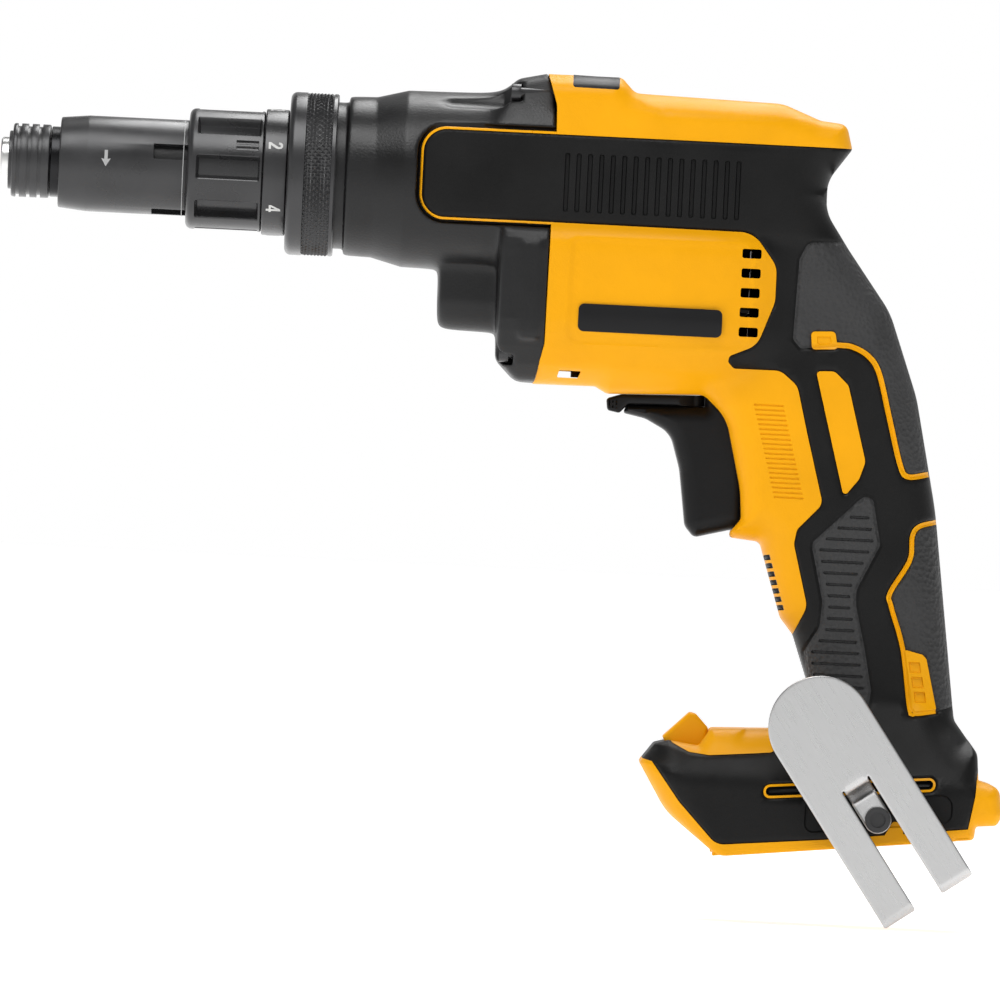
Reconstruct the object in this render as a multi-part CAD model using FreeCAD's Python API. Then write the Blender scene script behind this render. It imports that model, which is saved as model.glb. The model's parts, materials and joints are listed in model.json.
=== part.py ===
import FreeCAD, Part
import math
import os

# Cordless drywall screwdriver with an adjustable clutch nose, in millimetres.
# The spindle axis is the X axis, the nose tip is the origin and the nose points to -X.
# +Z is up and -Y is the side with the belt hook. Round pieces lie along X.

# Clearances
run_gap = 0.08
seat_gap = 0.05
free_gap = 0.4
plate_gap = 0.3
face_gap = 0.2
weld = 0.1

# Bit holder and its release sleeve
hex_across_flats = 6.40
hex_depth = 26.0
tip_length = 2.7
tip_drop = 0.85
tip_chamfer = 0.6
sleeve_length = 14.0
sleeve_lip = 0.5
sleeve_shoulder_length = 1.2
sleeve_shoulder_drop = 2.6
sleeve_step = 8.3
sleeve_groove_depth = 0.9
sleeve_groove_width = 1.3
sleeve_groove_pitch = 3.6
sleeve_groove_count = 3
sleeve_groove_start = 1.5
retaining_ring_length = 1.2
retaining_ring_height = 1.35
release_wire = 0.7
release_turns = 3
release_spring_height = 0.75
ball_radius = 1.7
ball_station = 13.2
ball_centre_depth = 2.65

# Spindle
neck_gap = 0.3
neck_length = 5.0
neck_step = 3.5
pilot_drop = 3.6
pilot_length = 22.0
push_travel = 3.0
push_room = 1.0

# Nose tube, scale sleeve, adjusting ring, number ring and collar
scale_front_gap = 3.3
scale_shown_length = 43.6
scale_hidden_length = 10.0
scale_wall = 2.22
scale_front_drop = 1.0
scale_taper_length = 9.5
scale_front_wall = 2.6
scale_notch_length = 11.6
scale_notch_width = 5.5
scale_notch_count = 4
scale_travel = 6.0
scale_step_margin = 3.0
scale_notch_start = 72.0
tube_radius = 14.0
tube_wall = 1.7
tube_front_wall = 1.72
tube_bore_step = 1.47
bush_length = 20.0
bush_wall = 2.2
ring_length = 25.9
ring_wall = 3.9
ring_front_drop = 1.6
ring_taper_length = 2.0
ring_rim_length = 5.5
ring_rear_rim = 2.4
ring_web = 3.2
ring_flute_count = 8
ring_flute_radius = 4.5
ring_flute_depth = 2.2
ring_pointer_angle = 24.0
number_length = 7.9
number_step = 0.9
collar_length = 16.6
collar_wall = 2.6
collar_front_wall = 3.0
collar_front_round = 2.4
collar_turn_gap = 0.3
flange_length = 3.1
flange_lap = 1.5

# Clutch
seat_length = 2.5
seat_space = 1.5
clutch_wire = 2.0
clutch_turns = 8
clutch_hub_length = 6.0
clutch_disc_length = 5.0
clutch_disc_step = 4.7
clutch_hub_gap = 0.5
jaw_count = 3
jaw_height = 3.5
jaw_gap = 0.5
jaw_angle = 44.0
jaw_inner_step = 2.0
return_wire = 1.2
return_turns = 3
return_spring_gap = 2.5

# Gear case
boss_wall = 4.3
clutch_room = 3.5
boss_shown_length = 3.5
band_length = 9.5
band_step = 2.2
band_round = 4.0
cone_length = 10.0
case_step = 3.0
case_round = 6.0
case_length = 50.5
bump_length = 37.3
bump_radius = 11.0
bump_round = 4.0
bump_wall = 3.0
recess_floor = 23.3
plate_length = 4.0
plate_half_width = 19.0
plate_round = 17.5
plate_margin = 19.0
bearing_lead = 1.0
bearing_shoulder = 2.0
shaft_room = 1.0

# Gear train
pressure_angle = 25.0
tooth_addendum = 0.75
tooth_dedendum = 1.0
backlash = 0.10
first_module = 0.7
motor_pinion_teeth = 12
first_gear_teeth = 43
second_module = 0.8
second_pinion_teeth = 13
output_gear_teeth = 38
first_gear_width = 7.0
second_gear_width = 12.0
pinion_overhang = 1.5
gear_room = 1.2
first_gear_space = 3.0
gear_shoulder = 3.0

# Shafts and bearings
output_journal = 8.0
output_gear_seat = 6.0
output_rear_journal = 4.0
front_bearing_radius = 15.0
front_bearing_length = 8.0
small_bearing_radius = 8.0
intermediate_radius = 3.5
intermediate_bush_radius = 6.5
intermediate_bush_length = 4.6
motor_shaft_radius = 2.5
pinion_bush_radius = 5.0
pinion_bush_length = 10.0
rear_bearing_radius = 6.5
rear_bearing_length = 5.0
rear_bearing_shoulder = 0.8
bearing_dish = 0.12
bearing_dish_depth = 0.4

# Motor
stator_radius = 25.0
stator_start = 9.5
stator_length = 35.0
stator_yoke = 4.5
stator_teeth = 6
tooth_width = 7.0
shoe_thickness = 1.6
shoe_width = 11.2
rotor_radius = 13.0
air_gap = 0.5
rotor_slots = 4
rotor_slot_depth = 0.7
rotor_slot_width = 1.8
winding_overhang = 4.5
winding_thickness = 3.6
winding_half_angle = 29.0
fan_start = 56.0
fan_length = 12.5
fan_radius = 22.0
fan_blades = 13
fan_disc = 1.6
fan_hub_radius = 6.0
blade_inner_radius = 9.0
blade_tip_gap = 0.6
blade_thickness = 1.2
chamber_radius = 24.0
chamber_length = 70.0
board_thickness = 1.6
board_radius = 21.0
board_bore = 8.0

# Housing walls
overmold_thickness = 1.6
panel_line = 0.85
panel_top = 18.0
panel_bottom = -13.5
panel_front = -44.8
panel_round = 8.7
wall = 4.2
panel_half_width = 26.0
motor_half_width = 31.0
handle_half_width = 18.5
foot_half_width = 38.0

# Trigger, lever and switch
trigger_half_width = 8.5
trigger_travel = 6.0
trigger_stem_radius = 3.5
trigger_stem_reach = 5.0
lever_half_width = 4.5
lever_tip_half_width = 7.0
lever_pin_radius = 2.6
lever_pin_station = 52.0
lever_pin_bottom = -71.0
lever_pin_length = 5.4
lever_tip_rear = 28.0
switch_front = 78.0
switch_length = 26.0
switch_top = -75.0
switch_height = 32.0
stem_height = -92.0
trigger_block_front = 60.0
trigger_back = 70.5
trigger_block_top = -80.0
trigger_block_bottom = -107.0
spring_pocket_radius = 6.2
spring_pocket_depth = 7.0
trigger_spring_radius = 5.2
trigger_wire = 0.8
trigger_turns = 5

# Electronics
module_start = 13.0
module_length = 72.0
module_bottom = -8.0
module_height = 29.0
module_half_width = 18.0
lead_radius = 1.4
lead_socket_depth = 2.0
motor_lead_spacing = 5.0
switch_lead_offset = 4.0
switch_lead_inset = 4.0
battery_lead_station = 102.4
battery_lead_offset = 5.0
passage_margin = 2.5

# Battery bay and foot
bay_half_width = 32.5
bay_depth = 13.0
bay_front = 64.0
bay_end = 175.0
terminal_front = 72.0
terminal_length = 34.0
rail_depth = 3.6
rail_width = 3.2
terminal_half_width = 14.0
terminal_drop = 10.0
terminal_rise = 5.0
blade_count = 4
blade_spacing = 6.4
blade_width = 0.8
blade_low = 5.0
blade_high = 11.0
blade_inset = 1.5
blade_reach = 9.0

# Work light
light_half_width = 11.0
light_margin = 2.2
lens_recess = 0.3
lens_thickness = 1.4
light_board_thickness = 1.7

# Bare label on the hump and bare badges on the motor's sides
trim_thickness = 0.6
label_front = 5.5
label_rear = 21.0
label_half_width = 9.0
badge_front = 11.0
badge_length = 48.7
badge_middle = -44.4
badge_height = 9.4
badge_round = 2.0

# Belt hook
hook_thickness = 1.6
hook_width = 35.0
hook_length = 67.0
hook_slot_width = 10.5
hook_slot_start = 22.3
hook_tilt = 34.75
hook_top = (99.3, -179.0)
hook_stand_off = 10.4
hook_lip = 2.4
hook_screw_along = 36.8
hook_screw_radius = 2.0
hook_head_radius = 4.3
hook_head_height = 2.6
hook_key_radius = 2.6
hook_key_floor = 0.8
hook_end_round = 0.8
hook_slot_round = 2.0
hook_bend_length = 5.5
hook_bend_slack = 0.8
hook_tongue_gap = 0.6
insert_radius = 3.0
insert_length = 4.6

# Fasteners
case_screw_radius = 2.0
case_screw_head = 3.2
case_screw_head_height = 3.2
case_screw_length = 24.0
case_screw_seat = 12.0
case_screw_way = 41.0
upper_screw_half = 16.5
upper_screw_height = 30.5
lower_screw_half = 21.0
lower_screw_drop = 17.9
housing_screw_radius = 1.6
housing_screw_head = 3.1
housing_screw_head_height = 2.6
housing_screw_seat = 9.0
housing_screw_reach = 9.0
screw_end_gap = 0.5
screw_hole_gap = 0.2
drive_share = 0.5
drive_floor = 1.2
boss_outer_radius = 4.0

# Radii about the spindle axis, from the nose tube inward
tube_bore = tube_radius - tube_wall
bush_seat = tube_bore - tube_bore_step
tube_front_radius = bush_seat + tube_front_wall
bush_radius = bush_seat - seat_gap
shaft_radius = bush_radius - bush_wall - run_gap
pilot_radius = shaft_radius - pilot_drop
neck_radius = shaft_radius + neck_step
tip_radius = shaft_radius - tip_drop
ball_centre_radius = tip_radius - ball_centre_depth
retaining_ring_radius = tip_radius + retaining_ring_height
release_spring_radius = tip_radius + release_spring_height
sleeve_radius = neck_radius + sleeve_lip
sleeve_shoulder_radius = sleeve_radius - sleeve_shoulder_drop

# Radii about the spindle axis, from the nose tube outward
scale_radius = tube_radius + run_gap + scale_wall
scale_front_radius = scale_radius - scale_front_drop
ring_radius = scale_radius + plate_gap + ring_wall
ring_front_radius = ring_radius - ring_front_drop
number_radius = ring_radius + number_step
jaw_inner_radius = shaft_radius + jaw_inner_step
return_spring_radius = jaw_inner_radius - return_wire / 2 - return_spring_gap
clutch_hub_radius = tube_bore - clutch_hub_gap
clutch_disc_radius = tube_bore + clutch_disc_step
boss_bore = clutch_disc_radius + clutch_room
boss_radius = boss_bore + boss_wall
flange_radius = boss_bore + flange_lap
collar_radius = boss_radius + collar_turn_gap + collar_wall
band_radius = boss_radius + band_step
case_radius = band_radius + case_step

# Stations along the spindle axis, from the tip
sleeve_front = tip_length
sleeve_rear = sleeve_front + sleeve_length
neck_front = sleeve_rear + neck_gap
neck_rear = neck_front + neck_length
scale_front = sleeve_rear + scale_front_gap
tube_front = neck_rear + push_travel + push_room
ring_front = scale_front + scale_shown_length
ring_rear = ring_front + ring_length
number_rear = ring_rear + number_length
collar_rear = number_rear + collar_length
flange_front = number_rear + collar_front_wall + plate_gap
flange_rear = flange_front + flange_length
boss_front = flange_rear
band_front = collar_rear + boss_shown_length
cone_front = band_front + band_length
case_front = cone_front + cone_length
joint = case_front + case_length
plate_front = joint - plate_length
bush_rear = tube_front + bush_length
seat_front = bush_rear + seat_space
clutch_spring_front = seat_front + seat_length
clutch_hub_front = flange_rear - clutch_hub_length + plate_gap
disc_front = clutch_hub_front + clutch_hub_length
disc_rear = disc_front + clutch_disc_length
driving_front = disc_rear + 2 * jaw_height + jaw_gap
driving_rear = driving_front + clutch_disc_length
front_bearing_front = case_front - bearing_lead
front_bearing_rear = front_bearing_front + front_bearing_length
bush_front = front_bearing_rear + bearing_lead
gear_room_front = bush_front + intermediate_bush_length + bearing_lead
second_front = gear_room_front + gear_room
second_rear = second_front + second_gear_width
first_rear = plate_front - first_gear_space
first_front = first_rear - first_gear_width

# Shaft heights
intermediate_z = -second_module * (second_pinion_teeth + output_gear_teeth) / 2
motor_z = intermediate_z - first_module * (motor_pinion_teeth + first_gear_teeth) / 2

# Stations of the motor, behind the joint between gear case and housing
stator_front = joint + stator_start
stator_rear = stator_front + stator_length
board_front = stator_rear + winding_overhang
fan_front = joint + fan_start
chamber_rear = joint + chamber_length
rear_bearing_front = chamber_rear + rear_bearing_shoulder
motor_shaft_front = joint - bump_length + bump_wall
switch_face = joint + switch_front
switch_leads_x = joint + module_start + module_length - switch_lead_inset
motor_leads_x = board_front + weld + board_thickness / 2
case_screw_face = joint - case_screw_seat

# Side outlines as corners (x from the joint, z, corner radius)
body_outline = [
    (-12.0, 38.2, 0), (22.0, 37.6, 3), (26.7, 32.5, 4), (77.0, 31.4, 14), (90.0, 26.3, 6),
    (99.0, 25.4, 3.5), (101.2, 17.0, 1.5), (93.4, 6.0, 12), (93.4, -4.5, 14), (101.8, -17.0, 6),
    (116.8, -37.5, 30), (127.2, -66.0, 50), (135.4, -104.0, 150), (145.1, -174.6, 5),
    (153.3, -185.5, 5), (153.9, -194.6, 1.0), (161.0, -196.6, 4), (162.6, -206.0, 3),
    (160.6, -209.4, 1.5), (153.7, -210.0, 1.0), (153.2, -214.6, 1.5), (67.0, -224.2, 7),
    (48.6, -209.8, 22), (39.0, -193.8, 1.2), (46.6, -184.0, 2), (56.0, -176.9, 2),
    (61.2, -181.4, 2), (92.0, -180.2, 9), (97.6, -172.0, 4), (89.2, -148.4, 4), (84.6, -142.8, 4),
    (76.4, -117.4, 2.5), (66.0, -116.4, 1.2), (66.3, -114.2, 0.8), (69.6, -110.0, 3),
    (68.8, -100.0, 25), (63.0, -76.0, 9), (55.0, -68.5, 4), (22.0, -69.6, 3), (18.0, -67.3, 2),
    (-12.0, -67.5, 0),
]
panel_outline = [
    (panel_front, panel_top, panel_round), (14.0, panel_top, 0), (14.0, panel_bottom, 0),
    (panel_front, panel_bottom, panel_round),
]
hump_outline = [
    (-20.0, 18.0, 0), (-18.0, 29.5, 3), (-13.0, 35.6, 5), (-3.0, 38.0, 8), (0.0, 38.2, 0), (0.0, 18.0, 0),
]
block_outline = [(0.0, -20.0, 0), (-15.0, -20.0, 0), (-15.0, -59.5, 5), (-8.5, -67.0, 5), (0.0, -67.5, 0)]
cover_region = [
    (-12.0, panel_top - panel_line, 0), (120.0, panel_top - panel_line, 0), (120.0, 60.0, 0), (-12.0, 60.0,
                                                                                               0),
]
window_region = [
    (-12.0, panel_bottom + panel_line, 0), (69.0, panel_bottom + panel_line, 10), (77.4, -24.0, 8),
    (77.4, -36.0, 10), (72.0, -51.0, 8), (62.8, -55.0, 1.5), (62.4, -57.0, 1), (64.5, -59.2, 1.5),
    (80.5, -59.1, 6), (86.4, -64.0, 6), (90.3, -79.2, 0), (96.9, -103.6, 4), (88.6, -112.6, 3),
    (87.8, -117.6, 4), (93.3, -138.5, 6), (89.0, -148.0, 0), (70.0, -152.0, 0), (40.0, -110.0, 0),
    (10.0, -75.0, 0), (-12.0, -75.0, 0),
]
badge_region = [
    (92.5, -58.7, 1), (98.8, -58.4, 3), (103.7, -63.0, 3), (110.7, -88.6, 4), (108.8, -94.6, 4),
    (103.9, -100.9, 1),
]
foot_plate_region = [
    (54.0, -170.0, 0), (84.7, -170.0, 0), (84.7, -189.6, 2), (62.0, -191.8, 3), (48.0, -190.0, 0),
    (45.0, -186.0, 0),
]
rim_region = [
    (30.0, -230.0, 0), (30.0, -190.0, 0), (43.2, -193.2, 0), (53.0, -206.4, 15), (66.2, -220.3, 6),
    (102.0, -216.9, 0), (151.0, -211.0, 0), (151.0, -192.0, 0), (170.0, -192.0, 0), (170.0, -230.0, 0),
]
trigger_outline = [
    (27.8, -76.3, 0.8), (36.0, -77.6, 8), (44.4, -82.4, 8), (48.0, -94.0, 20), (50.6, -113.0, 4),
    (54.0, -117.0, 2.2), (65.6, -113.9, 1.5), (68.6, -109.0, 3), (67.8, -100.0, 20), (62.5, -78.5, 9),
    (57.0, -73.3, 4), (28.2, -74.6, 0.6),
]
lever_outline = [
    (21.9, -70.6, 1.2), (55.5, -69.9, 1.5), (55.5, -72.0, 1.0), (28.0, -72.4, 1.5), (26.3, -75.7, 1.0),
    (22.6, -74.6, 1.2),
]
light_outline = [
    (46.4, -185.6, 0.8), (55.8, -177.0, 1.5), (57.4, -177.4, 1.0), (62.8, -185.0, 1), (48.4, -188.4, 1),
]

# Cross-sections as half outlines (y, z, corner radius), and plans as half outlines (x, y, corner radius)
upper_section = [(panel_half_width, -16.0, 0), (panel_half_width, 19.5, 8), (15.0, 39.0, 12)]
lower_section = [
    (21.0, -8.0, 2), (motor_half_width, -17.0, 6), (motor_half_width, -48.0, 16), (17.0, -68.6, 10),
]
foot_section = [
    (foot_half_width, -230.0, 0), (foot_half_width, -196.0, 9), (24.0, -178.0, 6), (20.0, -170.0, 0),
]
upper_plan = [(-12.0, panel_half_width, 0), (45.0, panel_half_width, 80), (102.0, 20.5, 11)]
lower_plan = [(-12.0, motor_half_width, 0), (62.0, motor_half_width, 16), (86.0, 16.0, 3)]
foot_plan = [(38.0, foot_half_width, 14), (164.0, foot_half_width, 9)]
# Handle sections: z, front x, rear x, change of half width
handle_stations = [
    (-6.0, 58.0, 95.5, 1.0), (-40.0, 58.0, 118.6, 0.8), (-75.0, 58.0, 129.8, 0.2), (-112.0, 62.0, 137.4,
                                                                                    0.0),
    (-150.0, 84.0, 142.9, 0.0), (-190.0, 96.0, 147.5, 1.0),
]
handle_corner = 13.0
# Hollow of the handle, inside the body outline (x from the joint, z, corner radius)
handle_room_outline = [
    (70.0, -72.0, 0), (73.5, -112.0, 4), (80.4, -116.0, 3), (88.6, -141.5, 4), (93.2, -147.0, 4),
    (100.4, -171.0, 4), (100.4, -178.0, 0), (140.6, -178.0, 0), (131.0, -104.5, 60), (124.0, -72.0, 0),
]
# Way of the trigger into the handle and of the battery leads into the foot (x0, x1, z0, z1), from the joint
trigger_way = (50.0, 80.0, -117.2, -72.8)
battery_way = (98.0, 128.0, -209.0, -170.0)
battery_way_half = 10.0

# Places of the housing screws (x from the joint, z), and of the four gear case screws (y, z)
housing_screw_places = [
    (19.0, 26.5), (89.0, 12.0), (96.0, -44.0), (113.0, -62.0), (86.0, -126.0), (135.0, -163.0), (54.0,
                                                                                                 -197.5),
    (146.0, -192.5),
]
case_screw_places = [
    (upper_screw_half, upper_screw_height), (lower_screw_half, motor_z - lower_screw_drop),
]

# Side grooves, side vents and the flow slot under the motor
groove_count = 16
groove_pitch = 3.87
groove_start = 4.0
groove_width = 1.5
groove_depth = 0.9
groove_bottom = -9.0
groove_top = 11.0
vent_count = 5
vent_pitch = 6.65
vent_middle = -33.4
vent_front = 65.5
vent_rear = 72.0
vent_height = 3.4
vent_inner = 12.0
flow_slot = (5.0, 11.0, -64.8, -62.6)

V = FreeCAD.Vector
X_AXIS = V(1, 0, 0)
Y_AXIS = V(0, 1, 0)
FAR = 400.0


def rounded_wire(corners, place):
    """Closed wire through corners (a, b, radius) with tangent arcs; place maps (a, b) to space."""
    count = len(corners)
    points = [V(a, b, 0) for a, b, radius in corners]
    entries = []
    for i in range(count):
        here = points[i]
        back = points[i - 1] - here
        ahead = points[(i + 1) % count] - here
        reach = 0.49 * min(back.Length, ahead.Length)
        half = back.getAngle(ahead) / 2
        radius = min(corners[i][2], reach * math.tan(half))
        back.normalize()
        ahead.normalize()
        if radius < 0.01:
            entries.append((here, None, here))
            continue
        run = radius / math.tan(half)
        middle = back + ahead
        middle.normalize()
        top = here + middle * (radius / math.sin(half) - radius)
        entries.append((here + back * run, top, here + ahead * run))
    edges = []
    for i in range(count):
        first, top, last = entries[i]
        if top is not None:
            edges.append(Part.Arc(place(first), place(top), place(last)).toShape())
        start = place(last)
        end = place(entries[(i + 1) % count][0])
        if start.distanceToPoint(end) > 1e-4:
            edges.append(Part.makeLine(start, end))
    return Part.Wire(edges)


def shrink(corners, inset):
    """Corners moved inwards by inset, whichever way round the outline runs."""
    if inset == 0:
        return corners
    count = len(corners)
    area = 0.0
    for i in range(count):
        ax, ay, ar = corners[i]
        bx, by, br = corners[(i + 1) % count]
        area += ax * by - bx * ay
    side = 1.0 if area > 0 else -1.0
    moved = []
    for i in range(count):
        px, py, pr = corners[i - 1]
        cx, cy, cr = corners[i]
        nx, ny, nr = corners[(i + 1) % count]
        before = V(cx - px, cy - py, 0).normalize()
        after = V(nx - cx, ny - cy, 0).normalize()
        normal_before = V(-before.y, before.x, 0) * side
        normal_after = V(-after.y, after.x, 0) * side
        push = (normal_before + normal_after) * (inset / (1 + normal_before.dot(normal_after)))
        turn = before.cross(after).z * side
        radius = max(cr - inset, 0.0) if turn > 0 else cr + inset * (cr > 0)
        moved.append((cx + push.x, cy + push.y, radius))
    return moved


def mirrored(half):
    """Full outline from a half outline whose first value is the distance from the middle."""
    return half + [(-a, b, r) for a, b, r in reversed(half)]


def side_prism(corners, y0, y1, inset=0):
    wire = rounded_wire(shrink(corners, inset), lambda p: V(joint + p.x, y0, p.y))
    return Part.Face(wire).extrude(V(0, y1 - y0, 0))


def section_prism(half, x0, x1, inset=0):
    wire = rounded_wire(shrink(mirrored(half), inset), lambda p: V(x0, p.x, p.y))
    return Part.Face(wire).extrude(V(x1 - x0, 0, 0))


def plan_prism(half, z0, z1, inset=0):
    full = half + [(x, -y, r) for x, y, r in reversed(half)]
    wire = rounded_wire(shrink(full, inset), lambda p: V(joint + p.x, p.y, z0))
    return Part.Face(wire).extrude(V(0, 0, z1 - z0))


def box(x0, x1, y0, y1, z0, z1):
    return Part.makeBox(x1 - x0, y1 - y0, z1 - z0, V(x0, y0, z0))


def rod(x0, x1, radius, y=0.0, z=0.0):
    return Part.makeCylinder(radius, x1 - x0, V(x0, y, z), X_AXIS)


def pipe(x0, x1, outer, inner, z=0.0):
    return rod(x0, x1, outer, z=z).cut(rod(x0 - 1, x1 + 1, inner, z=z))


def cross_rod(y0, y1, radius, x, z):
    return Part.makeCylinder(radius, y1 - y0, V(x, y0, z), Y_AXIS)


def turned(profile, z=0.0):
    """Solid of revolution about the X axis at height z from corners (x, radius, corner radius)."""
    wire = rounded_wire(profile, lambda p: V(p.x, 0, z + p.y))
    return Part.Face(wire).revolve(V(0, 0, z), X_AXIS, 360)


def around(shape, count, start=0.0, z=0.0):
    copies = []
    for i in range(count):
        copy = shape.copy()
        copy.rotate(V(0, 0, z), X_AXIS, start + 360.0 * i / count)
        copies.append(copy)
    return copies


def coil(x0, x1, radius, wire, turns, z=0.0):
    """Helical spring along X between two faces, as quarter turns swept by a round wire."""
    start = x0 + wire / 2 + 0.15
    length = x1 - x0 - wire - 0.3
    steps = turns * 8

    def at(step):
        angle = 2 * math.pi * step / 8
        return V(start + length * step / steps, radius * math.cos(angle), z + radius * math.sin(angle))

    edges = [Part.Arc(at(i), at(i + 1), at(i + 2)).toShape() for i in range(0, steps, 2)]
    path = Part.Wire(edges)
    heading = V(length / steps, 0, radius * 2 * math.pi / 8)
    section = Part.Wire([Part.makeCircle(wire / 2, at(0), heading)])
    return path.makePipeShell([section], True, False)


def gear(teeth, module, x0, x1, bore, z, first_tooth):
    """Spur gear with stub involute teeth; first_tooth is the angle of one tooth in degrees."""
    pitch = module * teeth / 2
    base = pitch * math.cos(math.radians(pressure_angle))
    tip = pitch + tooth_addendum * module
    root = pitch - tooth_dedendum * module
    flank_start = max(base, root)
    involute = lambda r: math.tan(math.acos(base / r)) - math.acos(base / r)
    half_pitch = math.pi / (2 * teeth) - backlash / (4 * pitch) + involute(pitch)
    radii = [flank_start + (tip - flank_start) * k / 3 for k in range(4)]
    flank = [(r, half_pitch - involute(r)) for r in radii]
    if root < base:
        flank = [(root, flank[0][1])] + flank
    points = []
    for i in range(teeth):
        middle = math.radians(first_tooth) + 2 * math.pi * i / teeth
        polar = [(r, middle - a) for r, a in flank] + [(r, middle + a) for r, a in reversed(flank)]
        points += [V(x0, r * math.cos(t), z + r * math.sin(t)) for r, t in polar]
    blank = Part.Face(Part.makePolygon(points + points[:1])).extrude(V(x1 - x0, 0, 0))
    return blank.cut(rod(x0 - 1, x1 + 1, bore, z=z)) if bore else blank


def node(name, *shapes):
    solids = []
    for shape in shapes:
        solids += shape.Solids
    shape = solids[0] if len(solids) == 1 else Part.makeCompound(solids)
    shape.exportStep("parts/" + name + ".step")
    print(name, len(solids), "solids", round(shape.Volume), "mm3", "" if shape.isValid() else "NOT VALID")


# Nose


def spindle():
    body = turned([
        (0.0, 0.0, 0), (0.0, tip_radius - tip_chamfer, 0), (tip_chamfer, tip_radius, 0), (neck_front,
                                                                                          tip_radius, 0),
        (neck_front, neck_radius, 0.4), (neck_rear, neck_radius, 0.4), (neck_rear, shaft_radius, 0),
        (disc_rear, shaft_radius, 0), (disc_rear, pilot_radius, 0), (disc_rear + pilot_length, pilot_radius,
                                                                     0.5),
        (disc_rear + pilot_length, 0.0, 0),
    ])
    corner = hex_across_flats / math.sqrt(3)
    ring = [V(-1, corner * math.cos(math.radians(60 * i)), corner * math.sin(math.radians(60 * i)))
            for i in range(7)]
    socket = Part.Face(Part.makePolygon(ring)).extrude(V(hex_depth + 1, 0, 0))
    ball_hole = Part.makeCylinder(ball_radius + run_gap, tip_radius,
                                  V(ball_station, 0, hex_across_flats / 4))
    return body.cut(socket).cut(ball_hole)


def bit_ball():
    return Part.makeSphere(ball_radius, V(ball_station, 0, ball_centre_radius))


def sleeve_retaining_ring():
    front = sleeve_front + face_gap
    return pipe(front, front + retaining_ring_length, retaining_ring_radius, tip_radius + seat_gap)


def release_sleeve():
    shoulder_rear = sleeve_front + sleeve_shoulder_length
    bore = tip_radius + run_gap
    wide_bore = retaining_ring_radius + face_gap
    body = turned([
        (sleeve_front, wide_bore, 0), (sleeve_front, sleeve_shoulder_radius, 0.3),
        (shoulder_rear, sleeve_shoulder_radius, 0), (shoulder_rear, sleeve_radius, 0.8),
        (sleeve_rear, sleeve_radius, 0.6), (sleeve_rear, bore, 0), (sleeve_front + sleeve_step, bore, 0),
        (sleeve_front + sleeve_step, wide_bore, 0),
    ])
    for i in range(sleeve_groove_count):
        start = shoulder_rear + sleeve_groove_start + sleeve_groove_pitch * i
        floor = sleeve_radius - sleeve_groove_depth
        body = body.cut(pipe(start, start + sleeve_groove_width, sleeve_radius + 1, floor))
    return body


def release_spring():
    front = sleeve_front + face_gap + retaining_ring_length
    return coil(front, sleeve_front + sleeve_step, release_spring_radius, release_wire, release_turns)


def scale_sleeve():
    rear = ring_front + scale_hidden_length
    bore = tube_radius + run_gap
    opening = sleeve_radius + free_gap
    body = turned([
        (scale_front, opening, 0), (scale_front, scale_front_radius, 0.6),
        (scale_front + scale_taper_length, scale_radius, 3), (rear, scale_radius, 0), (rear, bore, 0),
        (scale_front + scale_front_wall, bore, 0), (scale_front + scale_front_wall, opening, 0),
    ])
    notch = box(ring_front - scale_notch_length, rear + 1, -scale_notch_width / 2, scale_notch_width / 2,
                tube_radius - 2, scale_radius + 2)
    for cutter in around(notch, scale_notch_count, scale_notch_start):
        body = body.cut(cutter)
    return body


def adjusting_ring():
    web_front = ring_rear - ring_web
    body = turned([
        (ring_front, scale_radius + plate_gap, 0), (ring_front, ring_front_radius, 0),
        (ring_front + ring_taper_length, ring_radius, 2.5), (ring_rear - face_gap, ring_radius, 0.8),
        (ring_rear - face_gap, tube_radius + run_gap, 0), (web_front, tube_radius + run_gap, 0),
        (web_front, scale_radius + plate_gap, 0),
    ])
    centre = ring_radius + ring_flute_radius - ring_flute_depth
    flute = rod(ring_front + ring_rim_length, ring_rear - ring_rear_rim, ring_flute_radius, y=-centre)
    for cutter in around(flute, ring_flute_count, 180.0 / ring_flute_count - ring_pointer_angle):
        body = body.cut(cutter)
    return body


def number_ring():
    return turned([
        (ring_rear, tube_radius + seat_gap, 0), (ring_rear, number_radius, 0.5),
        (number_rear, number_radius, 0.5), (number_rear, tube_radius + seat_gap, 0),
    ])


def knurled_collar():
    inner = boss_radius + collar_turn_gap
    wall_rear = number_rear + collar_front_wall
    return turned([
        (number_rear + face_gap, tube_radius + run_gap, 0),
        (number_rear + face_gap, collar_radius, collar_front_round),
        (collar_rear, collar_radius, 0.8), (collar_rear, inner, 0), (wall_rear, inner, 0),
        (wall_rear, tube_radius + run_gap, 0),
    ])


def clutch_housing():
    step = scale_front + scale_front_wall + scale_travel + scale_step_margin
    return turned([
        (tube_front, bush_seat, 0), (tube_front, tube_front_radius, 0.3), (step, tube_front_radius, 0),
        (step, tube_radius, 0.5), (flange_front, tube_radius, 0), (flange_front, flange_radius, 0),
        (flange_rear, flange_radius, 0), (flange_rear, tube_bore, 0), (bush_rear, tube_bore, 0),
        (bush_rear, bush_seat, 0),
    ])


def spindle_bush():
    return pipe(tube_front, bush_rear, bush_radius, shaft_radius + run_gap)


# Clutch


def jaws(x0, x1, start):
    sector = pipe(x0, x1, clutch_disc_radius, jaw_inner_radius)
    half = math.radians(jaw_angle / 2)
    reach = 2 * clutch_disc_radius
    wedge = Part.makePolygon([
        V(x0, 0, 0), V(x0, -reach * math.cos(half), reach * math.sin(half)),
        V(x0, -reach * math.cos(half), -reach * math.sin(half)), V(x0, 0, 0),
    ])
    tooth = sector.common(Part.Face(wedge).extrude(V(x1 - x0, 0, 0)))
    return around(tooth, jaw_count, start)


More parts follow.
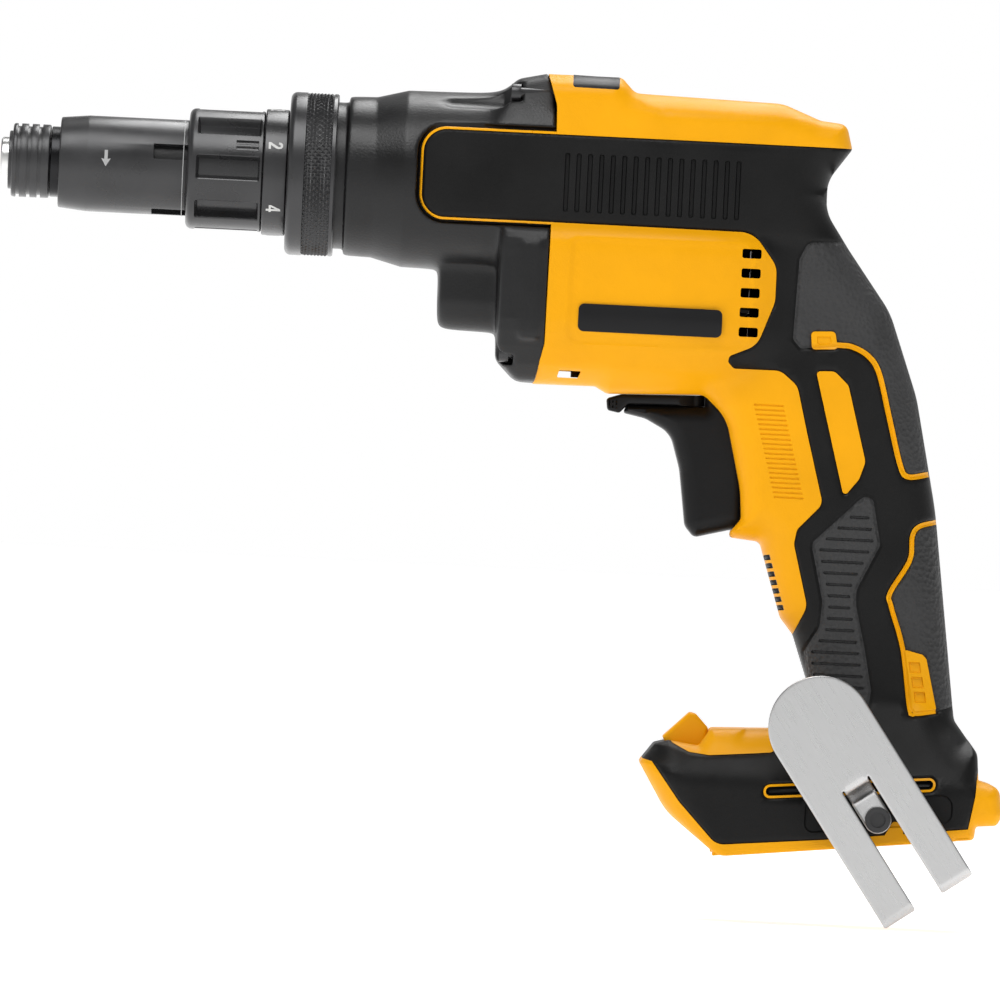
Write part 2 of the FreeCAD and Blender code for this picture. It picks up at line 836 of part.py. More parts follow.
def driven_clutch():
    body = pipe(clutch_hub_front, disc_front + weld, clutch_hub_radius, shaft_radius + seat_gap)
    body = body.fuse(pipe(disc_front, disc_rear, clutch_disc_radius, shaft_radius + seat_gap))
    return body.fuse(jaws(disc_rear - weld, disc_rear + jaw_height, 0.0)).removeSplitter()


def driving_clutch():
    body = pipe(driving_front, driving_rear, clutch_disc_radius, output_journal + seat_gap)
    return body.fuse(jaws(driving_front - jaw_height, driving_front + weld,
                          180.0 / jaw_count)).removeSplitter()


def spring_seat():
    return pipe(seat_front, clutch_spring_front, clutch_hub_radius, shaft_radius + seat_gap)


def clutch_spring():
    mean = (shaft_radius + tube_bore) / 2
    return coil(clutch_spring_front, clutch_hub_front, mean, clutch_wire, clutch_turns)


def return_spring():
    return coil(disc_rear, driving_front, return_spring_radius, return_wire, return_turns)


# Gear train


def output_shaft():
    gear_seat_front = second_front - face_gap
    gear_seat_rear = second_rear + gear_shoulder
    bore_rear = disc_rear + pilot_length + push_travel + push_room
    return turned([
        (driving_front, pilot_radius + run_gap, 0), (driving_front, output_journal, 0),
        (gear_seat_front, output_journal, 0), (gear_seat_front, output_gear_seat, 0),
        (gear_seat_rear, output_gear_seat, 0), (gear_seat_rear, output_rear_journal, 0),
        (joint, output_rear_journal, 0), (joint, 0.0, 0), (bore_rear, 0.0, 0), (bore_rear,
                                                                                pilot_radius + run_gap, 0),
    ])


def output_gear():
    first_tooth = -90.0 + 180.0 / output_gear_teeth
    return gear(output_gear_teeth, second_module, second_front, second_rear, output_gear_seat + seat_gap,
                0.0,
                first_tooth)


def intermediate_shaft():
    body = rod(bush_front, joint, intermediate_radius, z=intermediate_z)
    pinion = gear(second_pinion_teeth, second_module, second_front - pinion_overhang / 2,
                  second_rear + pinion_overhang, 0, intermediate_z, 90.0)
    return body.fuse(pinion)


def intermediate_gear():
    first_tooth = -90.0 + 180.0 / first_gear_teeth
    return gear(first_gear_teeth, first_module, first_front, first_rear, intermediate_radius + seat_gap,
                intermediate_z, first_tooth)


def intermediate_bushes():
    inner = intermediate_radius + run_gap
    bush_rear_face = bush_front + intermediate_bush_length
    return [
        pipe(bush_front, bush_rear_face, intermediate_bush_radius, inner, z=intermediate_z),
        pipe(plate_front, joint, intermediate_bush_radius, inner, z=intermediate_z),
    ]


def bearing(x0, x1, outer, inner, z):
    """Ball bearing as an outer ring, an inner ring and balls in one closed shape with dished sides."""
    middle = (outer + inner) / 2
    dish = bearing_dish * (outer - inner)
    depth = bearing_dish_depth
    return turned([
        (x0, inner, 0), (x0, middle - dish, 0), (x0 + depth, middle - dish, 0), (x0 + depth, middle + dish,
                                                                                 0),
        (x0, middle + dish, 0), (x0, outer, 0), (x1, outer, 0), (x1, middle + dish, 0),
        (x1 - depth, middle + dish, 0), (x1 - depth, middle - dish, 0), (x1, middle - dish, 0), (x1, inner,
                                                                                                 0),
    ], z)


def motor_shaft():
    pinion = gear(motor_pinion_teeth, first_module, first_front - pinion_overhang / 2,
                  first_rear + pinion_overhang / 2, 0, motor_z, 90.0)
    rear = rear_bearing_front + rear_bearing_length
    return rod(motor_shaft_front, rear, motor_shaft_radius, z=motor_z).fuse(pinion)


def pinion_bush():
    rear = motor_shaft_front + pinion_bush_length
    return pipe(motor_shaft_front, rear, pinion_bush_radius, motor_shaft_radius + run_gap, z=motor_z)


# Gear case


def gear_case():
    outer = turned([
        (boss_front, 0.0, 0), (boss_front, boss_radius, 0.8), (band_front, boss_radius, 0),
        (band_front, band_radius, 0.8), (cone_front, band_radius, band_round),
        (case_front, case_radius, case_round), (joint, case_radius, 0), (joint, 0.0, 0),
    ])
    hump = side_prism(hump_outline, -FAR, FAR).common(section_prism(upper_section, joint - case_length,
                                                                    joint))
    block = side_prism(block_outline, -FAR, FAR).common(section_prism(lower_section, joint - case_length,
                                                                      joint))
    bump_front = joint - bump_length
    bump = turned([
        (bump_front, 0.0, 0), (bump_front, bump_radius, bump_round), (plate_front, bump_radius, 0),
        (plate_front, 0.0, 0),
    ], motor_z)
    bump_web = box(bump_front + bump_round / 2, plate_front, -bump_radius, bump_radius, motor_z,
                   intermediate_z)
    body = outer.fuse([hump, block, bump, bump_web]).removeSplitter()
    return body.cut(gear_case_rooms())


def gear_case_rooms():
    """What is hollow in the gear case: clutch room, seats, gear rooms, recesses and screw holes."""
    output_room = second_module * output_gear_teeth / 2 + gear_room + plate_gap
    pinion_room = second_module * second_pinion_teeth / 2 + gear_room
    first_room = first_module * first_gear_teeth / 2 + gear_room + plate_gap
    motor_room = first_module * motor_pinion_teeth / 2 + gear_room
    shaft_end_front = motor_shaft_front - screw_end_gap
    rooms = [
        rod(boss_front - 1, front_bearing_front - bearing_shoulder, boss_bore),
        rod(driving_front, front_bearing_front + weld, output_journal + shaft_room),
        rod(front_bearing_front, front_bearing_rear, front_bearing_radius + seat_gap),
        rod(front_bearing_rear - weld, gear_room_front + weld, output_journal + shaft_room),
        rod(gear_room_front, plate_front, output_room),
        rod(bush_front, gear_room_front + weld, intermediate_bush_radius + seat_gap, z=intermediate_z),
        rod(gear_room_front, plate_front, pinion_room, z=intermediate_z),
        rod(first_front - gear_room, plate_front, first_room, z=intermediate_z),
        rod(first_front - 2 * gear_room, plate_front, motor_room, z=motor_z),
        rod(shaft_end_front, motor_shaft_front + pinion_bush_length, pinion_bush_radius + seat_gap,
            z=motor_z),
        rod(shaft_end_front, first_front, motor_shaft_radius + shaft_room, z=motor_z),
        plate_blank(seat_gap, 1.0),
    ]
    for side in (-1, 1):
        recess = side_prism(panel_outline, recess_floor, FAR, -plate_gap)
        rooms.append(recess if side > 0 else recess.mirror(V(0, 0, 0), Y_AXIS))
        for y, z in case_screw_places:
            rooms.append(rod(joint - case_screw_way, case_screw_face, case_screw_head + plate_gap,
                             y=side * y, z=z))
            rooms.append(rod(case_screw_face - 1, joint + 1, case_screw_radius + screw_hole_gap, y=side * y,
                             z=z))
    return rooms


def plate_blank(gap, extra):
    half = [
        (plate_half_width, motor_z - plate_margin, plate_round), (plate_half_width, plate_margin,
                                                                  plate_round),
    ]
    return section_prism(half, plate_front, joint + extra, -gap)


def gear_plate():
    body = plate_blank(0.0, 0.0)
    holes = [
        rod(plate_front - 1, joint + 1, small_bearing_radius + seat_gap),
        rod(plate_front - 1, joint + 1, intermediate_bush_radius + seat_gap, z=intermediate_z),
        rod(plate_front - 1, joint + 1, small_bearing_radius + seat_gap, z=motor_z),
    ]
    return body.cut(holes)


def gear_case_screws():
    screws = []
    head_front = case_screw_face - case_screw_head_height
    for side in (-1, 1):
        for y, z in case_screw_places:
            head = rod(head_front, case_screw_face, case_screw_head, y=side * y, z=z)
            shank = rod(case_screw_face - weld, case_screw_face + case_screw_length, case_screw_radius,
                        y=side * y, z=z)
            drive = rod(head_front - 1, case_screw_face - drive_floor, case_screw_head * drive_share,
                        y=side * y, z=z)
            screws.append(head.fuse(shank).cut(drive).removeSplitter())
    return screws


# Motor


def stator_core():
    z = motor_z
    yoke = pipe(stator_front, stator_rear, stator_radius, stator_radius - stator_yoke, z=z)
    inner = rotor_radius + air_gap
    tooth = box(stator_front, stator_rear, -stator_radius + stator_yoke / 2, -inner - plate_gap,
                z - tooth_width / 2,
                z + tooth_width / 2)
    shoe = pipe(stator_front, stator_rear, inner + shoe_thickness, inner, z=z)
    wide = box(stator_front, stator_rear, -stator_radius, 0.0, z - shoe_width / 2, z + shoe_width / 2)
    tooth = tooth.fuse(shoe.common(wide))
    body = yoke.fuse(around(tooth, stator_teeth, z=z))
    return body.cut(rod(stator_front - 1, stator_rear + 1, inner, z=z)).removeSplitter()


def stator_windings():
    z = motor_z
    inner = rotor_radius + air_gap + shoe_thickness + plate_gap
    outer = stator_radius - stator_yoke - free_gap
    half = tooth_width / 2
    whole = box(stator_front - winding_overhang, stator_rear + winding_overhang, -outer, -inner,
                z - half - winding_thickness, z + half + winding_thickness)
    core = box(stator_front - seat_gap, stator_rear + seat_gap, -outer - 1, -inner + 1, z - half - seat_gap,
               z + half + seat_gap)
    ring = whole.cut(core)
    spread = FAR * math.tan(math.radians(winding_half_angle))
    sixth = Part.makePolygon([V(0, 0, z), V(0, -FAR, z + spread), V(0, -FAR, z - spread), V(0, 0, z)])
    room = pipe(stator_front - FAR, stator_rear + FAR, outer, inner, z=z)
    ring = ring.common(Part.Face(sixth).extrude(V(FAR * 2, 0, 0))).common(room)
    return around(ring, stator_teeth, z=z)


def rotor():
    z = motor_z
    body = pipe(stator_front - air_gap, stator_rear + air_gap, rotor_radius, motor_shaft_radius + seat_gap,
                z=z)
    slot = box(stator_front - 1, stator_rear + 1, -rotor_radius - 1, -rotor_radius + rotor_slot_depth,
               z - rotor_slot_width / 2, z + rotor_slot_width / 2)
    return body.cut(around(slot, rotor_slots, 180.0 / rotor_slots, z=z))


def fan():
    z = motor_z
    disc = pipe(fan_front, fan_front + fan_disc, fan_radius, motor_shaft_radius + seat_gap, z=z)
    hub = pipe(fan_front, fan_front + fan_length, fan_hub_radius, motor_shaft_radius + seat_gap, z=z)
    blade = box(fan_front + fan_disc - weld, fan_front + fan_length, -fan_radius + blade_tip_gap,
                -blade_inner_radius, z - blade_thickness / 2, z + blade_thickness / 2)
    return disc.fuse([hub] + around(blade, fan_blades, z=z)).removeSplitter()


def sensor_board():
    front = board_front + weld
    return pipe(front, front + board_thickness, board_radius, board_bore, z=motor_z)


# Housing and its rubber skin


def handle(inset):
    wires = []
    for z, front, rear, change in handle_stations:
        half = handle_half_width + change
        section = [(front, -half, handle_corner), (front, half, handle_corner), (rear, half, handle_corner),
                   (rear, -half, handle_corner)]
        section = shrink(section, inset)
        wires.append(rounded_wire(section, lambda p, height=z: V(joint + p.x, p.y, height)))
    return Part.makeLoft(wires, True, False)


def body_solid(inset):
    """Outer form of the joined housing halves, moved inwards by inset."""
    start = joint - case_length
    upper = section_prism(upper_section, start, joint + FAR, inset).common(plan_prism(upper_plan, -FAR, FAR,
                                                                                      inset))
    lower = section_prism(lower_section, start, joint + FAR, inset).common(plan_prism(lower_plan, -FAR, FAR,
                                                                                      inset))
    foot = section_prism(foot_section, joint, joint + FAR, inset).common(
        plan_prism(foot_plan, -FAR, FAR, inset))
    whole = upper.fuse([lower, handle(inset), foot])
    whole = whole.common(side_prism(body_outline, -FAR, FAR, inset))
    return whole.common(box(joint, joint + FAR, -FAR, FAR, -FAR, FAR))


def tongue(y0, y1, inset):
    """Forward wing of each housing half, lying in the recess in the gear case's side."""
    left = side_prism(panel_outline, -y1, -y0, inset).common(box(-FAR, joint, -FAR, FAR, -FAR, FAR))
    return [left, left.mirror(V(0, 0, 0), Y_AXIS)]


def skin_blank(outer):
    """Rubber skin of both sides before grooving: the outer layer less the bare plastic regions."""
    layer = outer.cut(body_solid(overmold_thickness))
    bare = [side_prism(region, -FAR, FAR) for region in
            (cover_region, window_region, badge_region, foot_plate_region, rim_region)]
    wings = tongue(panel_half_width - overmold_thickness, panel_half_width, panel_line)
    layer = layer.cut(bare + [side_prism(light_outline, -FAR, FAR, -free_gap)])
    return layer.fuse(wings)


def grooved(layer):
    """The skin with its row of finger grooves on each side panel."""
    grooves = []
    for i in range(groove_count):
        x = joint + groove_start + groove_pitch * i
        for side in (-1, 1):
            inner = side * (panel_half_width - groove_depth)
            outer = side * FAR
            grooves.append(box(x, x + groove_width, min(inner, outer), max(inner, outer), groove_bottom,
                               groove_top))
    return layer.cut(grooves)


def trim_layer(outer):
    """Thin outer layer from which the label and the badges are cut, so that they follow the housing."""
    return outer.cut(body_solid(trim_thickness))


def top_label(layer):
    return layer.common(box(joint + label_front, joint + label_rear, -label_half_width, label_half_width,
                            0.0, FAR))


def side_badges(layer):
    low = badge_middle - badge_height / 2
    high = badge_middle + badge_height / 2
    rear = badge_front + badge_length
    corners = [(badge_front, low, badge_round), (rear, low, badge_round), (rear, high, badge_round),
               (badge_front, high, badge_round)]
    return layer.common(side_prism(corners, -FAR, FAR))


def motor_room():
    bore = stator_radius + seat_gap
    return [
        rod(joint - 1, chamber_rear, chamber_radius, z=motor_z),
        rod(stator_front, stator_rear, bore, z=motor_z),
        rod(chamber_rear - 1, rear_bearing_front + rear_bearing_length, rear_bearing_radius + seat_gap,
            z=motor_z),
    ]


def module_room():
    return box(joint + module_start - plate_gap, joint + module_start + module_length + plate_gap,
               -module_half_width - plate_gap, module_half_width + plate_gap, module_bottom - plate_gap,
               module_bottom + module_height + plate_gap)


def handle_room():
    return handle(wall).common(side_prism(handle_room_outline, -FAR, FAR))


def bay_line(x):
    """Height of the tilted foot bottom at a distance x behind the joint."""
    ax, az, ar = body_outline[20]
    bx, bz, br = body_outline[21]
    return az + (bz - az) * (x - ax) / (bx - ax)


def bay_slab(x0, x1, low, high, half):
    corners = [(x0, bay_line(x0) + low, 0), (x1, bay_line(x1) + low, 0), (x1, bay_line(x1) + high, 0),
               (x0, bay_line(x0) + high, 0)]
    return side_prism(corners, -half, half)


def battery_bay():
    wide = bay_slab(bay_front, bay_end, rail_depth, bay_depth, bay_half_width)
    mouth = bay_slab(bay_front, bay_end, -FAR, rail_depth + weld, bay_half_width - rail_width)
    return [wide, mouth]


def way(limits, half):
    x0, x1, z0, z1 = limits
    return box(joint + x0, joint + x1, -half, half, z0, z1)


def passages():
    """Ways for the leads between the rooms, and for the trigger into the handle."""
    motor_half = motor_lead_spacing + lead_radius + passage_margin
    switch_half = switch_lead_offset + lead_radius + passage_margin
    return [
        way(trigger_way, trigger_half_width + free_gap),
        box(motor_leads_x - passage_margin, motor_leads_x + passage_margin, -motor_half, motor_half,
            motor_z + board_radius - passage_margin, module_bottom + 1),
        box(switch_leads_x - passage_margin, switch_leads_x + passage_margin, -switch_half, switch_half,
            switch_top - 1, module_bottom + 1),
        bay_slab(terminal_front - plate_gap, terminal_front + terminal_length + plate_gap, bay_depth - 1,
                 bay_depth + terminal_rise, terminal_half_width + plate_gap),
        way(battery_way, battery_way_half),
    ]


def screw_bosses():
    return [cross_rod(-FAR, FAR, boss_outer_radius, joint + x, z) for x, z in housing_screw_places]


def housing(outer, layers):
    body = outer.fuse(tongue(recess_floor + plate_gap, panel_half_width, 0.0))
    hollow = handle_room().cut(screw_bosses())
    body = body.cut(layers + [hollow, module_room()] + motor_room() + battery_bay() + passages())
    return body.cut(housing_holes())


def housing_holes():
    holes = []
    for i in range(vent_count):
        z = vent_middle + vent_pitch * (i - (vent_count - 1) / 2)
        for side in (-1, 1):
            far = side * FAR
            holes.append(box(joint + vent_front, joint + vent_rear, min(side * vent_inner, far),
                             max(side * vent_inner, far), z - vent_height / 2, z + vent_height / 2))
    x0, x1, z0, z1 = flow_slot
    holes.append(box(joint + x0, joint + x1, -FAR, FAR, z0, z1))
    for x, z in housing_screw_places:
        seat = housing_screw_seat
        holes.append(cross_rod(-housing_screw_reach, seat + 1, housing_screw_radius + seat_gap, joint + x,
                               z))
        holes.append(cross_rod(seat, FAR, housing_screw_head + plate_gap, joint + x, z))
    for side in (-1, 1):
        for y, z in case_screw_places:
            end = case_screw_face + case_screw_length + screw_end_gap
            holes.append(rod(joint - 1, end, case_screw_radius + seat_gap, y=side * y, z=z))
        inner = side * (foot_half_width - insert_length)
        outer = side * FAR
        x, z = hook_screw_place()
        holes.append(cross_rod(min(inner, outer), max(inner, outer), insert_radius + seat_gap, x, z))
    holes.append(side_prism(light_outline, -light_half_width - plate_gap, light_half_width + plate_gap,
                            -plate_gap))
    pin = joint + lever_pin_station
    holes.append(Part.makeCylinder(lever_pin_radius + run_gap, lever_pin_length + free_gap,
                                   V(pin, 0, lever_pin_bottom)))
    return holes


def housing_screws():
    screws = []
    for x, z in housing_screw_places:
        seat = housing_screw_seat
        shank = cross_rod(-housing_screw_reach + screw_end_gap, seat, housing_screw_radius, joint + x, z)
        head = cross_rod(seat, seat + housing_screw_head_height, housing_screw_head, joint + x, z)
        drive = cross_rod(seat + drive_floor, seat + FAR, housing_screw_head * drive_share, joint + x, z)
        screws.append(shank.fuse(head).cut(drive).removeSplitter())
    return screws


# Trigger, lever and electronics


def trigger():
    half = trigger_half_width
    body = side_prism(trigger_outline, -half, half)
    front = joint + trigger_block_front
    block = box(front, joint + trigger_back, -half, half, trigger_block_bottom, trigger_block_top)
    body = body.fuse(block).removeSplitter()
    pocket = rod(joint + trigger_back - spring_pocket_depth, switch_face, spring_pocket_radius,
                 z=stem_height)
    stem = rod(front, switch_face + trigger_stem_reach, trigger_stem_radius, z=stem_height)
    return body.cut(pocket).fuse(stem).removeSplitter()


def switch_body():
    half = handle_half_width - wall - plate_gap
    rear = switch_face + switch_length
    body = box(switch_face, rear, -half, half, switch_top - switch_height, switch_top)
    end = switch_face + trigger_stem_reach + trigger_travel + push_room
    hole = rod(switch_face - 1, end, trigger_stem_radius + run_gap, z=stem_height)
    return body.cut(hole)


def trigger_spring():
    return coil(joint + trigger_back - spring_pocket_depth, switch_face, trigger_spring_radius,
                trigger_wire,
                trigger_turns, z=stem_height)


def direction_lever():
    tip = side_prism(lever_outline, -lever_tip_half_width, lever_tip_half_width)
    tip = tip.common(box(joint, joint + lever_tip_rear, -FAR, FAR, -FAR, FAR))
    arm = side_prism(lever_outline, -lever_half_width, lever_half_width)
    pin = Part.makeCylinder(lever_pin_radius, lever_pin_length,
                            V(joint + lever_pin_station, 0, lever_pin_bottom))
    return arm.fuse([tip, pin]).removeSplitter()


def control_module():
    return box(joint + module_start, joint + module_start + module_length, -module_half_width,
               module_half_width,
               module_bottom, module_bottom + module_height)


def lead(x, y, z0, z1):
    return Part.makeCylinder(lead_radius, z1 - z0, V(x, y, z0))


def motor_leads():
    low = motor_z + board_radius + face_gap
    return [lead(motor_leads_x, motor_lead_spacing * i, low, module_bottom) for i in (-1, 0, 1)]


def switch_leads():
    return [lead(switch_leads_x, side * switch_lead_offset, switch_top, module_bottom) for side in (-1, 1)]


def terminal_top(x):
    return bay_line(x) + bay_depth + terminal_rise


def battery_leads():
    low = terminal_top(battery_lead_station) - lead_socket_depth
    high = switch_top - switch_height
    return [lead(joint + battery_lead_station, side * battery_lead_offset, low, high) for side in (-1, 1)]


def terminal_block():
    body = bay_slab(terminal_front, terminal_front + terminal_length, bay_depth - terminal_drop,
                    bay_depth + terminal_rise, terminal_half_width)
    front = terminal_front + blade_inset - seat_gap
    cuts = [blade(y, blade_width + 2 * seat_gap, front, seat_gap) for y in blade_places()]
    low = terminal_top(battery_lead_station) - lead_socket_depth
    for side in (-1, 1):
        place = V(joint + battery_lead_station, side * battery_lead_offset, low)
        cuts.append(Part.makeCylinder(lead_radius + seat_gap, FAR, place))
    return body.cut(cuts)


def blade_places():
    return [(i - (blade_count - 1) / 2) * blade_spacing for i in range(blade_count)]


def blade(y, thickness, front, gap):
    rear = terminal_front + terminal_length + blade_reach
    low = blade_low - gap
    high = blade_high + gap
    corners = [(front, bay_line(front) + low, 0), (rear, bay_line(rear) + low, 0),
               (rear, bay_line(rear) + high, 0), (front, bay_line(front) + high, 0)]
    return side_prism(corners, y - thickness / 2, y + thickness / 2)


def terminal_blades():
    return [blade(y, blade_width, terminal_front + blade_inset, 0.0) for y in blade_places()]


# Work light


def light_face(depth0, depth1, margin, half):
    """Slab parallel to the sloping face of the light, between two depths below that face."""
    ax, az, ar = light_outline[0]
    bx, bz, br = light_outline[1]
    along = V(bx - ax, bz - az, 0).normalize()
    inward = V(along.y, -along.x, 0)
    start = V(ax, az, 0) + along * margin
    end = V(bx, bz, 0) - along * margin
    corners = [start + inward * depth0, end + inward * depth0, end + inward * depth1,
               start + inward * depth1]
    return side_prism([(p.x, p.y, 0) for p in corners], -half, half)


def light_housing():
    body = side_prism(light_outline, -light_half_width, light_half_width)
    depth = lens_recess + lens_thickness + light_board_thickness
    return body.cut(light_face(-1.0, depth, light_margin, light_half_width - light_margin))


def light_lens():
    half = light_half_width - light_margin - seat_gap
    return light_face(lens_recess, lens_recess + lens_thickness, light_margin + seat_gap, half)


def light_board():
    half = light_half_width - light_margin - seat_gap
    front = lens_recess + lens_thickness
    return light_face(front, front + light_board_thickness, light_margin + seat_gap, half)


# Belt hook


def hook_point(along, across):
    tilt = math.radians(hook_tilt)
    x, z = hook_top
    return (x + along * math.sin(tilt) + across * math.cos(tilt),
            z - along * math.cos(tilt) + across * math.sin(tilt))


def hook_screw_place():
    x, z = hook_point(hook_screw_along, 0.0)
    return (joint + x, z)


def hook_plate(corners, y0, y1):
    flat = []
    for along, across, radius in corners:
        x, z = hook_point(along, across)
        flat.append((x, z, radius))
    return side_prism(flat, y0, y1)


def hook_strip(profile, across0, across1):
    """Bent strip of the hook: corners (along, y) swept across the hook's width."""
    corners = []
    for along, y in profile:
        x, z = hook_point(along, across0)
        corners.append(V(joint + x, y, z))
    x0, z0 = hook_point(0, across0)
    x1, z1 = hook_point(0, across1)
    return Part.Face(Part.makePolygon(corners + corners[:1])).extrude(V(x1 - x0, 0, z1 - z0))


def belt_hook():
    half = hook_width / 2
    slot = hook_slot_width / 2
    inner = -foot_half_width - hook_stand_off
    outer = inner - hook_thickness
    plate = hook_plate([(-half, -half, half), (-half, half, half), (hook_length, half, hook_end_round),
                        (hook_length, -half, hook_end_round)], outer, inner)
    cut = hook_plate([(hook_slot_start, -slot, hook_slot_round), (hook_slot_start, slot, hook_slot_round),
                      (FAR, slot, 0), (FAR, -slot, 0)], outer - 1, inner + 1)
    plate = plate.cut(cut)
    seat = -foot_half_width
    bend = hook_slot_start + hook_bend_length
    slack = hook_bend_slack
    root = hook_slot_start - hook_thickness
    end = hook_screw_along + slot
    t = hook_thickness
    tongue_strip = hook_strip([
        (root, outer), (hook_slot_start + slack, outer), (bend + slack, seat - t), (end, seat - t), (end,
                                                                                                     seat),
        (bend - slack, seat), (hook_slot_start - slack, inner), (root, inner),
    ], -slot + hook_tongue_gap, slot - hook_tongue_gap)
    x, z = hook_screw_place()
    end_round = cross_rod(-FAR, FAR, slot - hook_tongue_gap, x, z)
    ahead = hook_plate([(0, -half, 0), (0, half, 0), (hook_screw_along, half, 0),
                        (hook_screw_along, -half, 0)], -FAR, FAR)
    tongue_strip = tongue_strip.common(ahead.fuse(end_round))
    lips = []
    for across in (-half, slot):
        lips.append(hook_strip([
            (hook_length - hook_end_round, outer), (hook_length + hook_lip, outer + hook_lip),
            (hook_length + hook_lip, inner + hook_lip), (hook_length - hook_end_round, inner),
        ], across + hook_end_round, across + half - slot - hook_end_round))
    body = plate.fuse([tongue_strip] + lips).removeSplitter()
    return body.cut(cross_rod(-FAR, FAR, hook_screw_radius + screw_hole_gap, x, z))


def belt_hook_screw():
    x, z = hook_screw_place()
    seat = -foot_half_width - hook_thickness
    head = cross_rod(seat - hook_head_height, seat, hook_head_radius, x, z)
    shank = cross_rod(seat - weld, seat + hook_thickness + insert_length - screw_end_gap, hook_screw_radius,
                      x, z)
    key = cross_rod(seat - hook_head_height - 1, seat - hook_key_floor, hook_key_radius, x, z)
    return head.fuse(shank).cut(key).removeSplitter()


def hook_inserts():
    x, z = hook_screw_place()
    inserts = []
    for side in (-1, 1):
        inner = side * (foot_half_width - insert_length)
        outer = side * foot_half_width
        ring = cross_rod(min(inner, outer), max(inner, outer), insert_radius, x, z)
        inserts.append(ring.cut(cross_rod(-FAR, FAR, hook_screw_radius + seat_gap, x, z)))
    return inserts


def main():
    os.makedirs("parts", exist_ok=True)
    node("spindle", spindle())
    node("bit_ball", bit_ball())
    node("sleeve_retaining_ring", sleeve_retaining_ring())
    node("release_sleeve", release_sleeve())
    node("release_spring", release_spring())
    node("scale_sleeve", scale_sleeve())
    node("adjusting_ring", adjusting_ring())
    node("number_ring", number_ring())
    node("knurled_collar", knurled_collar())
    node("clutch_housing", clutch_housing())
    node("spindle_bush", spindle_bush())
    node("spring_seat", spring_seat())
    node("clutch_spring", clutch_spring())
    node("driven_clutch", driven_clutch())
    node("driving_clutch", driving_clutch())
    node("return_spring", return_spring())
    node("output_shaft", output_shaft())
    node("output_gear", output_gear())
    node("output_front_bearing", bearing(front_bearing_front, front_bearing_rear, front_bearing_radius,
                                         output_journal + seat_gap, 0.0))
    node("output_rear_bearing", bearing(plate_front, joint, small_bearing_radius,
                                        output_rear_journal + seat_gap, 0.0))
    node("intermediate_shaft", intermediate_shaft())
    node("intermediate_gear", intermediate_gear())
    node("intermediate_bushes", *intermediate_bushes())
    node("motor_shaft", motor_shaft())
    node("pinion_bush", pinion_bush())
    node("motor_front_bearing", bearing(plate_front, joint, small_bearing_radius,
                                        motor_shaft_radius + seat_gap,
                                        motor_z))
    node("motor_rear_bearing", bearing(rear_bearing_front, rear_bearing_front + rear_bearing_length,
                                       rear_bearing_radius, motor_shaft_radius + seat_gap, motor_z))
    node("gear_case", gear_case())
    node("gear_plate", gear_plate())
    node("gear_case_screws", *gear_case_screws())
    node("stator_core", stator_core())
    node("stator_windings", *stator_windings())
    node("rotor", rotor())
    node("fan", fan())
    node("sensor_board", sensor_board())
    outer = body_solid(0)
    blank = skin_blank(outer)
    trim = trim_layer(outer)
    label = top_label(trim)
    badges = side_badges(trim)
    whole = housing(outer, [blank, label, badges])
    rubber = grooved(blank).cut(housing_holes())
    left = box(-FAR, FAR * 2, -FAR, 0.0, -FAR, FAR)
    right = box(-FAR, FAR * 2, 0.0, FAR, -FAR, FAR)
    node("top_label", label)
    node("side_badges", badges)
    node("left_overmold", rubber.common(left))
    node("right_overmold", rubber.common(right))
    node("left_housing", whole.common(left))
    node("right_housing", whole.common(right))
    node("housing_screws", *housing_screws())
    node("trigger", trigger())
    node("trigger_spring", trigger_spring())
    node("switch_body", switch_body())
    node("direction_lever", direction_lever())
    node("control_module", control_module())
    node("motor_leads", *motor_leads())
    node("switch_leads", *switch_leads())
    node("battery_leads", *battery_leads())
    node("terminal_block", terminal_block())
    node("terminal_blades", *terminal_blades())
    node("light_housing", light_housing())
    node("light_lens", light_lens())
    node("light_board", light_board())
    node("belt_hook", belt_hook())
    node("belt_hook_screw", belt_hook_screw())
    node("hook_inserts", *hook_inserts())


main()
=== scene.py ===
import json
import math
import bpy
import numpy as np
import openvdb
from mathutils import Matrix
from mathutils.geometry import delaunay_2d_cdt
from mathutils.kdtree import KDTree


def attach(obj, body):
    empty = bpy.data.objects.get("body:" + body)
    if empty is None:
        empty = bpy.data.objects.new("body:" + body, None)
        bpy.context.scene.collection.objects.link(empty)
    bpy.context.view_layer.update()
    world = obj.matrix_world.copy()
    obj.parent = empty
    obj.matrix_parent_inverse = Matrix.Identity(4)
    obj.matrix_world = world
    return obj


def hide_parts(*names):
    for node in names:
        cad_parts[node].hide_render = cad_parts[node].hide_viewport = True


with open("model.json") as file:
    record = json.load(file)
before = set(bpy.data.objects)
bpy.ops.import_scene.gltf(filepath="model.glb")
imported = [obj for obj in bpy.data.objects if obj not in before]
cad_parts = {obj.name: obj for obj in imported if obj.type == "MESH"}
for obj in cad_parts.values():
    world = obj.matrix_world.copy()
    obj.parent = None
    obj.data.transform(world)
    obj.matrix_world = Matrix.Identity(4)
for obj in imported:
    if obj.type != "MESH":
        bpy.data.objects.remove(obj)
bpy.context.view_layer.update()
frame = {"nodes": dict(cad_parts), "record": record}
nodes = frame["nodes"]
MM = 0.001

